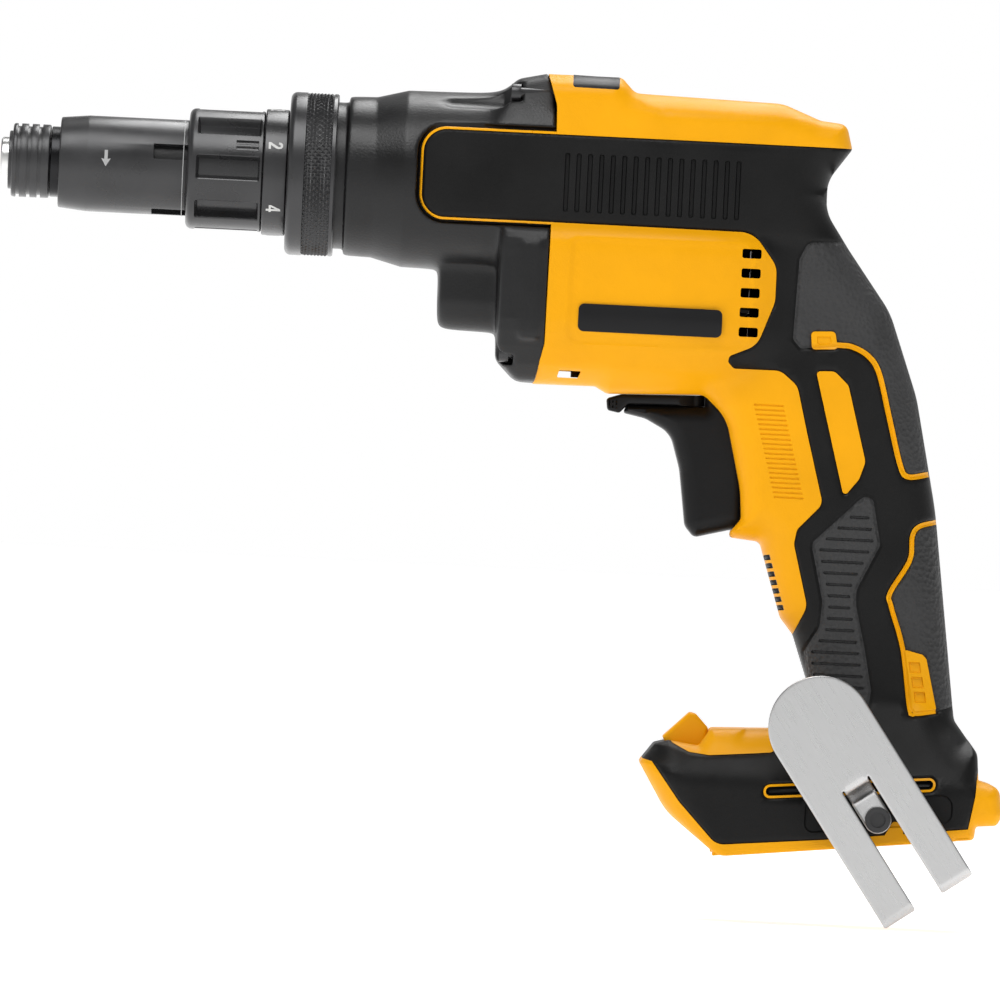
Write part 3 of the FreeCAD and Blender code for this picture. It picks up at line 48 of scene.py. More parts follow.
# Sizes below are millimetres in the shared frame: X back along the spindle, Z up, -Y the hook's side.
# Side outline of one housing half with its forward wing, as corners (x, z, corner radius).
OUTLINE = [
    (188.2, 18, 0), (187.9, 27, 6), (184.6, 37.6, 0), (209.5, 37.6, 3), (214.2, 32.5, 4), (264.5, 31.4, 14),
    (277.5, 26.3, 6), (286.5, 25.4, 3.5), (288.7, 17, 1.5), (280.9, 6, 12), (280.9, -4.5, 14),
    (289.3, -17, 6), (304.3, -37.5, 30), (314.7, -66, 50), (322.9, -104, 150), (332.6, -174.6, 5),
    (340.8, -185.5, 5), (341.4, -194.6, 1), (348.5, -196.6, 4), (350, -206, 3), (348.1, -209.4, 1.5),
    (341.2, -210, 1), (340.7, -214.6, 1.5), (254.5, -224.2, 7), (236.1, -209.8, 22), (226.5, -193.8, 1.2),
    (231.4, -187.3, 1.5), (236, -186, 1), (246.4, -187.4, 1.5), (250.2, -181.3, 2), (279.5, -180.2, 9),
    (285.1, -172, 4), (276.7, -148.4, 4), (272.1, -142.8, 4), (263.9, -117.4, 2.5), (253.5, -116.4, 1.2),
    (253.8, -114.2, 0.8), (257.1, -110, 3), (256.3, -100, 40), (250.5, -76, 16), (242.5, -68.5, 4),
    (209.5, -69.6, 3), (205.5, -67.3, 2), (184.2, -67.5, 0), (187.5, -54, 8), (187.8, -13.5, 0),
    (142.7, -13.5, 8.7), (142.7, 18, 8.7),
]
PANEL = [(143.55, 17.15, 7.9), (320, 17.15, 0), (320, -12.7, 0), (143.55, -12.7, 7.9)]
WING = [(142.7, 18, 8.7), (188.2, 18, 0), (188.2, -13.5, 0), (142.7, -13.5, 8.7)]
COVER = [(180, 17.15, 0), (320, 17.15, 0), (320, 60, 0), (180, 60, 0)]
WINDOW = [
    (180, -12.7, 0), (256.5, -12.9, 9), (264.9, -24, 8), (264.9, -36, 10), (259.5, -51, 8),
    (250.3, -55, 1.5), (249.9, -57, 1), (252, -59.2, 1.5), (268, -59.1, 6), (273.9, -64, 6),
    (277.8, -79.2, 0), (284.4, -103.6, 4), (276.1, -112.6, 3), (275.3, -117.6, 4), (280.8, -138.5, 6),
    (276.5, -148, 0), (257.5, -152, 0), (227.5, -110, 0), (197.5, -75, 0), (180, -75, 0),
]
GRIP_BADGE = [
    (280, -58.7, 1), (286.3, -58.4, 3), (291.2, -63, 3), (298.2, -88.6, 4), (296.3, -94.6, 4),
    (291.4, -100.9, 1),
]
FOOT_PLATE = [
    (241.5, -170, 0), (272.2, -170, 0), (272.2, -188.2, 2), (250, -190.2, 3), (243, -189.4, 3),
    (237.4, -186.6, 2), (233, -182, 0),
]
RIM = [
    (217.5, -230, 0), (217.5, -190, 0), (230.7, -193.2, 0), (240.5, -206.4, 15), (253.7, -220.3, 6),
    (289.5, -216.9, 0), (338.5, -211, 0), (340.4, -200, 3), (341, -192, 0), (360, -192, 0), (360, -230, 0),
]
TAB = [(277.6, -45.3, 1.2), (285.8, -44.9, 1.4), (287, -50.9, 1), (278.2, -51.4, 1.2)]
TAB_MARK = [(279.6, -46.8, 0.4), (284.3, -46.6, 0.4), (284.9, -49.3, 0.4), (280, -49.6, 0.4)]
LADDER = [
    (313.9, -151.3, 1), (320.7, -152.9, 1), (322.1, -154.3, 1), (326.4, -171.8, 1), (318.8, -173.1, 1),
    (317.2, -171.3, 1),
]
UPPER_LINE = [
    (283, -49.6), (287.6, -49.5), (292, -49.9), (297.4, -52.7), (301.3, -58.3), (305.6, -73.5),
    (310, -89.1), (312.9, -92.9), (319.9, -91.8),
]
UPPER_PAD = [
    (286.4, -14.5, 0), (275.1, -15.3, 3), (272.5, -21.1, 3), (272, -34.7, 0), (271.6, -48.3, 2),
    (274.4, -51.3, 1), (287.3, -49.6, 0), (292, -49.9, 3), (297.4, -52.7, 3), (301.3, -58.3, 4),
    (310, -89.1, 2), (312.9, -93.2, 2), (321, -91.6, 0), (345, -92, 0), (345, -14.5, 0),
]
LOWER_PAD = [
    (325, -107.4, 0), (317.5, -109.6, 3), (315.3, -113.1, 3), (314.8, -121.2, 6), (308.7, -132.5, 4),
    (309.3, -137.2, 4), (313.9, -151.3, 1), (317.2, -171.3, 1), (318.8, -173.1, 1), (326.4, -171.8, 1),
    (332, -170, 0), (350, -170, 0), (350, -107.4, 0),
]
LOWER_LINE = [(323.4, -107.8)] + [c[:2] for c in LOWER_PAD[1:8]] + [(319, -172.9), (326, -171.8)]
SIDE_PAD = [
    (298.7, -100.1, 2), (301.5, -101.3, 2), (304.6, -116.5, 3), (297.2, -132.2, 6), (297.4, -137.3, 6),
    (301, -152, 8), (303.9, -166, 0), (303, -172, 0), (284, -172, 0), (280.5, -153.9, 0), (285.4, -145, 6),
    (285.9, -136.5, 6), (281.7, -119, 2), (281.6, -116.6, 2), (296.7, -101.6, 2),
]
INNER_WINDOW = [(195, -17.5, 3), (257, -17, 5), (257, -53, 6), (195, -53.5, 3)]
FOOT_SLOT = [(268.8, -203.9, 2.3), (268.8, -199.2, 2.3), (326.8, -194.1, 2.3), (326.8, -198.8, 2.3)]
FLOW_SLOT = [(192.3, -65, 0.3), (199.3, -65, 0.3), (200.4, -62.6, 0.3), (193, -62.6, 0.3)]
GRIP_VENT = ((266.6, -122.6), (271.9, -139.4))
HOOK_POCKET = [(283, -215, 3), (283, -203.6, 3), (333, -199.4, 4), (333, -209.5, 4)]
HOOK_PATCH = [(309, -217, 0), (316.6, -216, 0), (316.6, -209.6, 1), (313, -209.6, 1)]
TOP_LABEL = [(193, 33.4, 0.8), (208.8, 33.2, 0.8), (208.8, 45, 0), (193, 45, 0)]
TRIGGER_ZONE = [
    (236, -117.8, 0), (275, -117.8, 0), (275, -68.3, 0), (243.2, -68.3, 0), (243.2, -71.8, 0),
    (236, -71.8, 0),
]
SCREW_HOLES = [
    (206.5, 26.5), (276.5, 12), (283.5, -44), (300.5, -62), (273.5, -126), (322.5, -163), (241.5, -197.5),
    (333.5, -192.5),
]
SCREW_HOLE_RADIUS = 3.4
SCREW_SEAT = 9.0
HOOK_SCREW = (307.78, -209.24)
HOOK_SCREW_HOLE = 3.1
HOOK_SCREW_SEAT = 33.0
MOTOR_Z = -39.65
# Edge along the gear case: in front of this station, between these heights
CASE_END_X = 189.0
CASE_END_Z = (-67.0, 37.0)
# Motor vents: front, change from hole to pocket, rear, and how far in the wall round a hole goes
VENT_X = (253.0, 256.4, 259.5)
VENT_MIDDLE = -33.4
VENT_STEP = 6.65
VENT_HALF = 1.6
VENT_ROUND = 0.6
VENT_WALL = 23.0
VENT_POCKET_DEPTH = 14.0
FAN_WALL_X = (258.4, 263.4)
FAN_WALL_HALF = 24.0
SHELL_WALL = 2.6
EDGE_LAND = 2.4
SEAM = 0.1
SEAM_DEPTH = 0.6
SEAM_LAND = 0.01
TRIGGER_ROOM = 9.2
# Battery bay: its underside as a place and a slope, then its open rear and the rails along it
BAY_LINE = (340.7, -214.6, 0.11137)
BAY_REAR_X, BAY_REAR_HEIGHT, BAY_REAR_HALF = 330.0, 13.0, 32.6
RAIL_X, RAIL_HEIGHT, RAIL_HALF = 252.0, 3.6, 29.4
HOLE_WALL = 1.3
THINNEST_WALL = 0.2
THINNEST_HALF = 0.4
RUBBER_RISE = 0.45
RUBBER_DIP = 0.45
PAD_LINE_DEPTH = 0.7
# Distances in from an outline where a mesh gets rows of points
EDGE_RINGS = [0.12, 0.45, 1.0, 1.8, 2.8, 4.2, 6.0, 8.2, 10.8]
PILLOW_RINGS = [0.12, 0.4, 0.9, 1.6, 2.6, 3.8, 5.2, 6.0, 6.6, 7.4, 9.0, 11.0, 14.0]
PATH_STEP = 0.8
CREASE = 38.0


def columns(*parts):
    """Arrays side by side."""
    return np.stack(parts, axis=1)


def rounded(corners, step=0.9):
    """Closed outline through corners (x, z, radius), rounded by arcs."""
    points = []
    count = len(corners)
    for i in range(count):
        here = np.array(corners[i][:2], float)
        back = np.array(corners[i - 1][:2], float) - here
        ahead = np.array(corners[(i + 1) % count][:2], float) - here
        reach = 0.49 * min(np.linalg.norm(back), np.linalg.norm(ahead))
        back /= np.linalg.norm(back)
        ahead /= np.linalg.norm(ahead)
        half = math.acos(np.clip(back @ ahead, -1, 1)) / 2
        radius = min(corners[i][2], reach * math.tan(half))
        if radius < 0.05:
            points.append(here)
            continue
        middle = back + ahead
        centre = here + middle / np.linalg.norm(middle) * radius / math.sin(half)
        first = here + back * radius / math.tan(half) - centre
        last = here + ahead * radius / math.tan(half) - centre
        start = math.atan2(first[1], first[0])
        turn = (math.atan2(last[1], last[0]) - start + math.pi) % (2 * math.pi) - math.pi
        steps = max(2, int(abs(turn) * radius / step) + 1)
        angles = start + turn * np.arange(steps + 1) / steps
        points += [centre + radius * np.array((math.cos(a), math.sin(a))) for a in angles]
    return np.array(points)


def circle(x, z, radius, count=28):
    angles = 2 * np.pi * np.arange(count) / count
    return columns(x + radius * np.cos(angles), z + radius * np.sin(angles))


def rectangle(x0, x1, z0, z1, radius=0, end_radius=None):
    """Outline of a rectangle with rounded corners, those at x1 by end_radius where given."""
    end_radius = radius if end_radius is None else end_radius
    return rounded([(x0, z0, radius), (x1, z0, end_radius), (x1, z1, end_radius), (x0, z1, radius)])


def dense(loop, step):
    """The same closed line with points no further apart than step."""
    points = []
    for a, b in zip(loop, np.roll(loop, -1, axis=0)):
        count = max(1, int(math.ceil(np.linalg.norm(b - a) / step)))
        points += [a + (b - a) * k / count for k in range(count)]
    return np.array(points)


def smooth_path(path):
    """Smooth open line through the path's points."""
    p = np.array(path, float)
    p = np.vstack([2 * p[0] - p[1], p, 2 * p[-1] - p[-2]])
    points = []
    for i in range(1, len(p) - 2):
        count = max(2, int(np.linalg.norm(p[i + 1] - p[i]) / PATH_STEP))
        for k in range(count):
            t = k / count
            points.append(0.5 * (2 * p[i] + (p[i + 1] - p[i - 1]) * t
                                 + (2 * p[i - 1] - 5 * p[i] + 4 * p[i + 1] - p[i + 2]) * t * t
                                 + (3 * p[i] - p[i - 1] - 3 * p[i + 1] + p[i + 2]) * t ** 3))
    points.append(p[-2])
    return np.array(points)


def stroke(path, width):
    """Closed outline of a line of even width along a smooth path."""
    line = smooth_path(path)
    along = np.gradient(line, axis=0)
    along /= np.linalg.norm(along, axis=1)[:, None]
    side = columns(-along[:, 1], along[:, 0]) * width / 2
    return np.vstack([line + side, (line - side)[::-1]])


def offset(loop, inset):
    """Closed loop moved inwards by inset along its normals."""
    ahead = np.roll(loop, -1, axis=0) - loop
    ahead /= np.maximum(np.linalg.norm(ahead, axis=1), 1e-9)[:, None]
    along = ahead + np.roll(ahead, 1, axis=0)
    x, z = loop.T
    area = np.sum(x * np.roll(z, -1) - np.roll(x, -1) * z)
    normal = columns(-along[:, 1], along[:, 0]) * np.sign(area)
    length = np.maximum((normal ** 2).sum(axis=1), 0.4)
    return loop + normal * (2 * inset / length)[:, None]


def distance(points, loop):
    """Distance of each point from a closed line."""
    return edge_distance(points, loop, np.roll(loop, -1, axis=0))


def edge_gap(points, start, end):
    """Squared distance of each point from a straight edge."""
    run = end - start
    share = np.clip((points - start) @ run / max(run @ run, 1e-12), 0, 1)
    return ((points - start - share[:, None] * run) ** 2).sum(axis=1)


def edge_distance(points, starts, ends):
    """Distance of each point from the nearest of many straight edges."""
    best = np.full(len(points), 1e12)
    for start, end in zip(starts, ends):
        best = np.minimum(best, edge_gap(points, start, end))
    return np.sqrt(best)


def round_drop(gap, radius):
    """How far a rounded edge lies below its face, at a distance from the edge."""
    rest = np.clip(radius - gap, 0, radius)
    return radius - np.sqrt(radius * radius - rest * rest)


def inside(points, loop):
    """True for each point within the closed loop."""
    result = np.zeros(len(points), bool)
    x, z = points.T
    for (ax, az), (bx, bz) in zip(loop, np.roll(loop, -1, axis=0)):
        crosses = (az > z) != (bz > z)
        at = ax + (z - az) * (bx - ax) / (bz - az if abs(bz - az) > 1e-9 else 1e-9)
        result ^= crosses & (x < at)
    return result


def meshed(loops, loose=(), kind=0, tolerance=1e-4):
    """Places and triangles of a flat mesh along closed loops and through loose points."""
    points = []
    edges = []
    for loop in loops:
        first = len(points)
        points += [tuple(p) for p in loop]
        edges += [(first + i, first + (i + 1) % len(loop)) for i in range(len(loop))]
    result = delaunay_2d_cdt(points + [tuple(p) for p in loose], edges, [], kind, tolerance, False)
    return np.array([(v[0], v[1]) for v in result[0]]), np.array(result[2])


def soft_max(a, b, k):
    return 0.5 * (a + b + np.sqrt((a - b) ** 2 + k * k))


def soft_min(a, b, k):
    return 0.5 * (a + b - np.sqrt((a - b) ** 2 + k * k))


def ease(value, low, high):
    t = np.clip((value - low) / (high - low), 0, 1)
    return t * t * (3 - 2 * t)


# Half width of the body


def motor_width(z):
    """Half width of the motor housing at a height."""
    heights = [-70, -66, -61, -55, -50, -46, -40, -22, -18.5, -16, -14, -12, -8]
    widths = [16, 19.5, 24, 28, 30.2, 30.9, 31, 31, 30.6, 29.4, 27.4, 24.5, 20]
    return np.interp(z, heights, widths)


PANEL_HALF, PANEL_TAPER = 26.0, 5.5
COVER_SLOPE, UNDER_SLOPE, UNDER_Z = 0.85, 2.0, 15.0
MOTOR_TAPER, MOTOR_TAPER_X = 0.66, 252.0
HANDLE_HALF = 18.5


def base_width(points):
    """Half width of the housing before its edges are rounded."""
    x, z = points.T
    crease = np.interp(x, [187, 211, 214, 218, 223, 276, 290], [34, 34, 32.5, 28, 26, 25.8, 24])
    upper = PANEL_HALF - PANEL_TAPER * ease(x, 228, 296) - COVER_SLOPE * soft_max(z - crease, 0.0, 1.0)
    upper = upper - UNDER_SLOPE * soft_max(-z - UNDER_Z, 0.0, 2.0)
    motor = motor_width(z) - MOTOR_TAPER * soft_max(x - MOTOR_TAPER_X, 0.0, 8.0)
    handle = HANDLE_HALF + ease(z, -45, -6)
    foot = np.interp(z, [-230, -200, -197, -193.5, -186, -179, -173, -168],
                     [38, 38, 37.3, 35.2, 29.9, 24.6, 20.5, 15])
    return soft_max(soft_max(upper, motor, 1.0), soft_max(handle, foot, 4.0), 1.5)


def by_gear_case(x, z):
    """True where the outline runs along the gear case."""
    return x < CASE_END_X and CASE_END_Z[0] < z < CASE_END_Z[1]


def edge_radius(x, z):
    """Rounding of the outline's edge at a place on it."""
    if by_gear_case(x, z):
        return 0.6 if x < 180 else 0.25
    if z < -180.0:  # foot
        if x < 262.0:
            return float(np.interp(x, [236.0, 257.0], [11.0, 1.2])) if z < -190.0 else 5.0
        if x > 334.0:
            return 6.0
        return 1.2 if z < -205.0 else 8.0
    if z > 8.0:  # cover
        return 8.0
    if x > 281.0 or z < -116.5:  # grip
        return 12.0
    if z < -72.0:  # behind the trigger
        return 8.0
    return 9.0


outline = dense(rounded(OUTLINE), 1.6)
outline_radius = np.array([edge_radius(x, z) for x, z in (outline + np.roll(outline, -1, axis=0)) / 2])


def edge_drop(points):
    """How far the rounded edges of the outline lower the surface."""
    drop = np.zeros(len(points))
    for start, end, radius in zip(outline, np.roll(outline, -1, axis=0), outline_radius):
        drop = np.maximum(drop, round_drop(np.sqrt(edge_gap(points, start, end)), radius))
    return drop


def bay_height(points):
    """Height above the foot's tilted underside."""
    x0, z0, slope = BAY_LINE
    return points[:, 1] - z0 - slope * (points[:, 0] - x0)


def inner_width(points, outer, holes):
    """Half width of the shell's inside, closed to the seam round the edge."""
    closed = np.array([not by_gear_case(x, z) for x, z in outline])
    edge = edge_distance(points, outline[closed], np.roll(outline, -1, axis=0)[closed])
    height = bay_height(points)
    x, z = points.T
    rim = np.where(edge < SEAM_DEPTH, SEAM, SEAM_LAND)
    rim[(x > BAY_REAR_X) & (height < BAY_REAR_HEIGHT)] = BAY_REAR_HALF
    rim[(x > RAIL_X) & (height < RAIL_HEIGHT)] = RAIL_HALF
    inner = np.where(edge < EDGE_LAND, rim, np.maximum(outer - SHELL_WALL, SEAM))
    well = inside(points, rounded(TRIGGER_ZONE))
    inner[well] = np.maximum(inner, TRIGGER_ROOM)[well]
    inner[(x > FAN_WALL_X[0]) & (x < FAN_WALL_X[1]) & (np.abs(z - MOTOR_Z) < FAN_WALL_HALF)] = SEAM
    for hole, depth in holes:
        near = distance(points, hole) < HOLE_WALL
        inner[near] = np.minimum(inner[near], depth)
    return np.minimum(inner, outer - THINNEST_WALL)


# Grooves and openings in the side


def grip_vents():
    """Short slots one below another along the front of the grip."""
    (ax, az), (bx, bz) = GRIP_VENT
    found = []
    for i in range(7):
        x = ax + (bx - ax) * i / 6
        z = az + (bz - az) * i / 6
        found.append(rounded([(x - 1.0, z - 1.0, 0.2), (x + 1.3, z - 0.7, 0.2), (x + 0.7, z + 1.1, 0.2),
                              (x - 1.2, z + 0.8, 0.2)]))
    return found


def motor_vents(front, rear, round_front, round_rear):
    """Five openings one below another, between two stations along X."""
    heights = [VENT_MIDDLE + VENT_STEP * (2 - i) for i in range(5)]
    return [rectangle(front, rear, z - VENT_HALF, z + VENT_HALF, round_front, round_rear) for z in heights]


def vent_pockets():
    """Rear part of each motor vent, closed behind."""
    return motor_vents(VENT_X[1], VENT_X[2], 0, VENT_ROUND)


PANEL_GROOVES, PANEL_GROOVE_X, PANEL_GROOVE_PITCH, PANEL_GROOVE_WIDTH = 16, 191.5, 3.87, 1.7
GRIP_LINES, GRIP_LINE_LENGTH, GRIP_LINE_HALF, GRIP_LINE_PITCH = 20, 10.0, 0.35, 1.63
PAD_ROWS, PAD_ROW_Z, PAD_ROW_PITCH, PAD_ROW_HALF = 16, -107.5, 3.85, 0.55
LADDER_CELLS, LADDER_PITCH = 3, (1.1, -5.0)
SLOT_RIM = 0.8


def side_grooves():
    """Grooves as (loop, depth, width of their sloping wall)."""
    found = []
    for i in range(PANEL_GROOVES):
        x = PANEL_GROOVE_X + PANEL_GROOVE_PITCH * i
        found.append((rectangle(x, x + PANEL_GROOVE_WIDTH, -9.0, 11.0, 0.6), 0.9, 0.35))
    for i in range(GRIP_LINES):
        x = 259.5 + 8.3 * i / (GRIP_LINES - 1)
        z = -71.0 - GRIP_LINE_PITCH * i
        line = rectangle(x, x + GRIP_LINE_LENGTH, z - GRIP_LINE_HALF, z + GRIP_LINE_HALF)
        found.append((line, 0.35, 0.2))
    pad = rounded(SIDE_PAD)
    for i in range(PAD_ROWS):
        z = PAD_ROW_Z - PAD_ROW_PITCH * i
        row = columns(np.arange(278.0, 306.0, 0.25), np.full(112, z))
        row = row[inside(row, pad) & (distance(row, pad) > 2.0)]
        low, high = row[0][0], row[-1][0]
        found.append((rectangle(low, high, z - PAD_ROW_HALF, z + PAD_ROW_HALF, 0.4), 0.8, 0.3))
    for i in range(LADDER_CELLS):
        x = 318.3 + LADDER_PITCH[0] * i
        z = -157.4 + LADDER_PITCH[1] * i
        found.append((rounded([(x - 1.6, z - 1.9, 0.4), (x + 2.3, z - 1.9, 0.4), (x + 1.6, z + 1.9, 0.4),
                               (x - 2.3, z + 1.9, 0.4)]), 0.8, 0.3))
    found += [(pocket, VENT_POCKET_DEPTH, 0.12) for pocket in vent_pockets()]
    found += [(slot, 1.6, 0.25) for slot in grip_vents()]
    found += [(rounded(TAB_MARK), 0.5, 0.3), (rounded(HOOK_POCKET), 0.8, 0.5),
              (rounded(INNER_WINDOW), 0.5, 0.8), (offset(rounded(FOOT_SLOT), SLOT_RIM), 2.0, 0.4)]
    return found


def side_holes(side):
    """Openings as (loop, depth of the walls inwards)."""
    found = [(vent, VENT_WALL) for vent in motor_vents(VENT_X[0], VENT_X[1], VENT_ROUND, 0)]
    found.append((rounded(FLOW_SLOT), SEAM))
    found.append((circle(HOOK_SCREW[0], HOOK_SCREW[1], HOOK_SCREW_HOLE), HOOK_SCREW_SEAT))
    if side > 0:
        found += [(circle(x, z, SCREW_HOLE_RADIUS), SCREW_SEAT) for x, z in SCREW_HOLES]
    return found


# Each colour region as (loop, kind); a later one lies over an earlier one
YELLOW, RUBBER, PAD, NONE, LABEL = 0, 1, 2, 3, 4


def side_regions():
    plain = [
        (UPPER_PAD, PAD), (LOWER_PAD, PAD), (SIDE_PAD, PAD), (WING, YELLOW), (PANEL, RUBBER), (COVER, YELLOW),
        (WINDOW, YELLOW), (GRIP_BADGE, YELLOW), (FOOT_PLATE, YELLOW), (RIM, YELLOW), (TAB, YELLOW),
        (LADDER, YELLOW),
    ]
    foot_slot = rounded(FOOT_SLOT)
    return [(rounded(corners), kind) for corners, kind in plain] + [
        (stroke(UPPER_LINE, 1.8), YELLOW), (stroke(LOWER_LINE, 1.6), YELLOW), (foot_slot, YELLOW),
        (offset(foot_slot, SLOT_RIM), RUBBER), (rounded(HOOK_PATCH), YELLOW), (rounded(TOP_LABEL), LABEL),
    ] + [(slot, RUBBER) for slot in grip_vents() + vent_pockets()]


def plan(loops, regions):
    """Triangles over the side outline whose edges follow every loop."""
    lines = np.vstack([dense(loop, 0.4) for loop in loops])
    tree = KDTree(len(lines))
    for i, (x, z) in enumerate(lines):
        tree.insert((x, z, 0), i)
    tree.balance()
    extra = []
    for inset in EDGE_RINGS:
        ring = dense(offset(outline, inset), max(0.9, 0.5 * inset))
        extra.append((ring, 0.35 * inset if inset < 1 else 0.7))
    for region in regions:
        for inset in (0.4, -0.4, 1.0, -1.0):
            extra.append((dense(offset(region[0], inset), 1.2), 0.3))
    xs, zs = np.meshgrid(np.arange(141.0, 352.0, 2.3), np.arange(-226.0, 40.0, 2.0))
    xs = xs + 1.15 * (np.arange(len(zs))[:, None] % 2)
    extra.append((columns(xs.ravel(), zs.ravel()), 0.9))
    loose = []
    for group, gap in extra:
        group = group[inside(group, outline)]
        loose += [p for p in group if tree.find((p[0], p[1], 0))[2] > gap]
    places, triangles = meshed(loops, loose)
    return places, triangles[inside(places[triangles].mean(axis=1), outline)]


def solid(name, outer, inner, triangles, side, names=(), kinds=None):
    """Closed shell from an outer and an inner sheet, kinds choosing among its materials."""
    used, faces = np.unique(triangles, return_inverse=True)
    faces = faces.reshape(triangles.shape)
    count = len(used)
    if side > 0:
        faces = faces[:, ::-1]
    directed = dict.fromkeys(pair for a, b, c in faces for pair in ((a, b), (b, c), (c, a)))
    walls = [(b, a, a + count, b + count) for a, b in directed if (b, a) not in directed]
    polygons = [tuple(f) for f in faces] + [tuple(f[::-1] + count) for f in faces] + walls
    piece = make_piece(name, np.vstack([outer[used], inner[used]]), polygons)
    dress(piece, *names)
    if kinds is not None:
        slots = np.concatenate([kinds, kinds, np.zeros(len(walls), int)])
        piece.data.polygons.foreach_set("material_index", slots.astype(np.int32))
    return piece


def make_piece(name, points, faces, angle=CREASE):
    """Object from points in millimetres, smooth except where it turns by more than angle."""
    mesh = bpy.data.meshes.new(name)
    mesh.from_pydata((np.array(points) * MM).tolist(), [], faces)
    mesh.validate()
    mesh.polygons.foreach_set("use_smooth", [True] * len(mesh.polygons))
    mesh.set_sharp_from_angle(angle=math.radians(angle))
    piece = bpy.data.objects.new(name, mesh)
    bpy.context.scene.collection.objects.link(piece)
    return piece


def edge_codes(triangles, count):
    """One number for each edge of the triangles, the same from either side."""
    pairs = np.sort(triangles[:, [[0, 1], [1, 2], [2, 0]]].reshape(-1, 2), axis=1)
    return np.unique(pairs[:, 0] * count + pairs[:, 1])


def housing_side(side, label):
    """Yellow shell and rubber skin of one side."""
    regions = side_regions()
    grooves = side_grooves()
    holes = side_holes(side)
    loops = [outline] + [dense(loop, 1.6) for loop, kind in regions]
    loops += [dense(loop, 2.0) for loop, depth, width in grooves]
    loops += [dense(offset(loop, width), 2.0) for loop, depth, width in grooves]
    loops += [dense(loop, 1.6) for loop, depth in holes]
    places, triangles = plan(loops, regions)
    centres = places[triangles].mean(axis=1)
    kinds = np.full(len(triangles), RUBBER)
    for loop, kind in regions:
        kinds[inside(centres, loop)] = kind
    for loop, depth in holes:
        kinds[inside(centres, loop)] = NONE
    shell = (kinds == YELLOW) | (kinds == LABEL)
    skin = (kinds == RUBBER) | (kinds == PAD)
    count = len(places)
    shared = np.intersect1d(edge_codes(triangles[shell], count), edge_codes(triangles[skin], count))
    border = edge_distance(places, places[shared // count], places[shared % count])
    outer = base_width(places) - edge_drop(places)
    for loop, depth, width in grooves:
        near = np.all((places > loop.min(axis=0) - 1) & (places < loop.max(axis=0) + 1), axis=1)
        spots = places[near]
        cut = depth * np.clip(distance(spots, loop) / width, 0, 1) * inside(spots, loop)
        outer[near] -= cut
    outer = np.maximum(outer, THINNEST_HALF)
    for loop, kind in regions[:3]:
        outer -= PAD_LINE_DEPTH * (1 - ease(distance(places, loop), 0.15, 0.95))
    inner = inner_width(places, outer, holes)
    rise = RUBBER_RISE * ease(border, 0.0, 1.0) - RUBBER_DIP * (1 - ease(border, 0.0, 0.7))
    x, z = places.T
    flat = columns(x, side * outer, z)
    raised = columns(x, side * (outer + rise), z)
    back = columns(x, side * inner, z)
    yellow = solid(label + "_shell", flat, back, triangles[shell], side, ("yellow_plastic", "label_black"),
                   (kinds[shell] == LABEL).astype(int))
    rubber = solid(label + "_grip", raised, back, triangles[skin], side, ("black_rubber", "textured_rubber"),
                   (kinds[skin] == PAD).astype(int))
    return yellow, rubber


# Gear case as one smooth closed form


def flat_distance(loop, xs, zs):
    """Signed distance to a closed side outline over a grid, negative inside."""
    grid = np.stack(np.meshgrid(xs, zs, indexing="ij"), axis=2).reshape(-1, 2)
    gap = distance(grid, loop)
    return np.where(inside(grid, loop), -gap, gap).reshape(len(xs), 1, len(zs))


CASE_GRID = 0.55
CASE_DEEPEST = 3.0
BOSS_RADIUS, BOSS_FRONT = 24.8, 103.8
BAND_FRONT = 117.5
BAND_X, BAND_RADIUS = [BAND_FRONT, 127.0, 137.5, 190.0], [27.0, 27.2, 29.9, 30.3]
HUMP = [
    (166.5, 16, 0), (169.5, 29.5, 3), (174.5, 35.6, 5), (184.5, 38, 8), (194, 38.2, 0), (194, 16, 0),
]
MOTOR_END = [(194, -12, 0), (171, -12, 0), (171, -60, 5), (178, -67.1, 6), (194, -67.6, 0)]
SHAFT_BUMP_RADIUS, SHAFT_BUMP_FRONT = 11.2, 150.2
WING_GAP, WING_SEAT = 1.1, 23.2
# Screw pockets as (distance from the middle plane, height, rear end)
UPPER_SCREW = (16.5, 30.5, 176.0)
LOWER_SCREW = (21.0, -57.55, 177.0)
LOWER_SCREW_RADIUS = 3.9
CASE_SEAM_Z = [-67.5, -63.0, -58.0, -54.0, -13.5, 18.0, 24.0, 30.0, 34.0, 37.6]
CASE_SEAM_X = [184.7, 185.8, 187.0, 187.5, 187.6, 188.0, 187.7, 186.9, 185.9, 184.5]
CASE_SEAM_GAP = 0.15
TONGUE_INSET, TONGUE_END = 3.2, 190.0


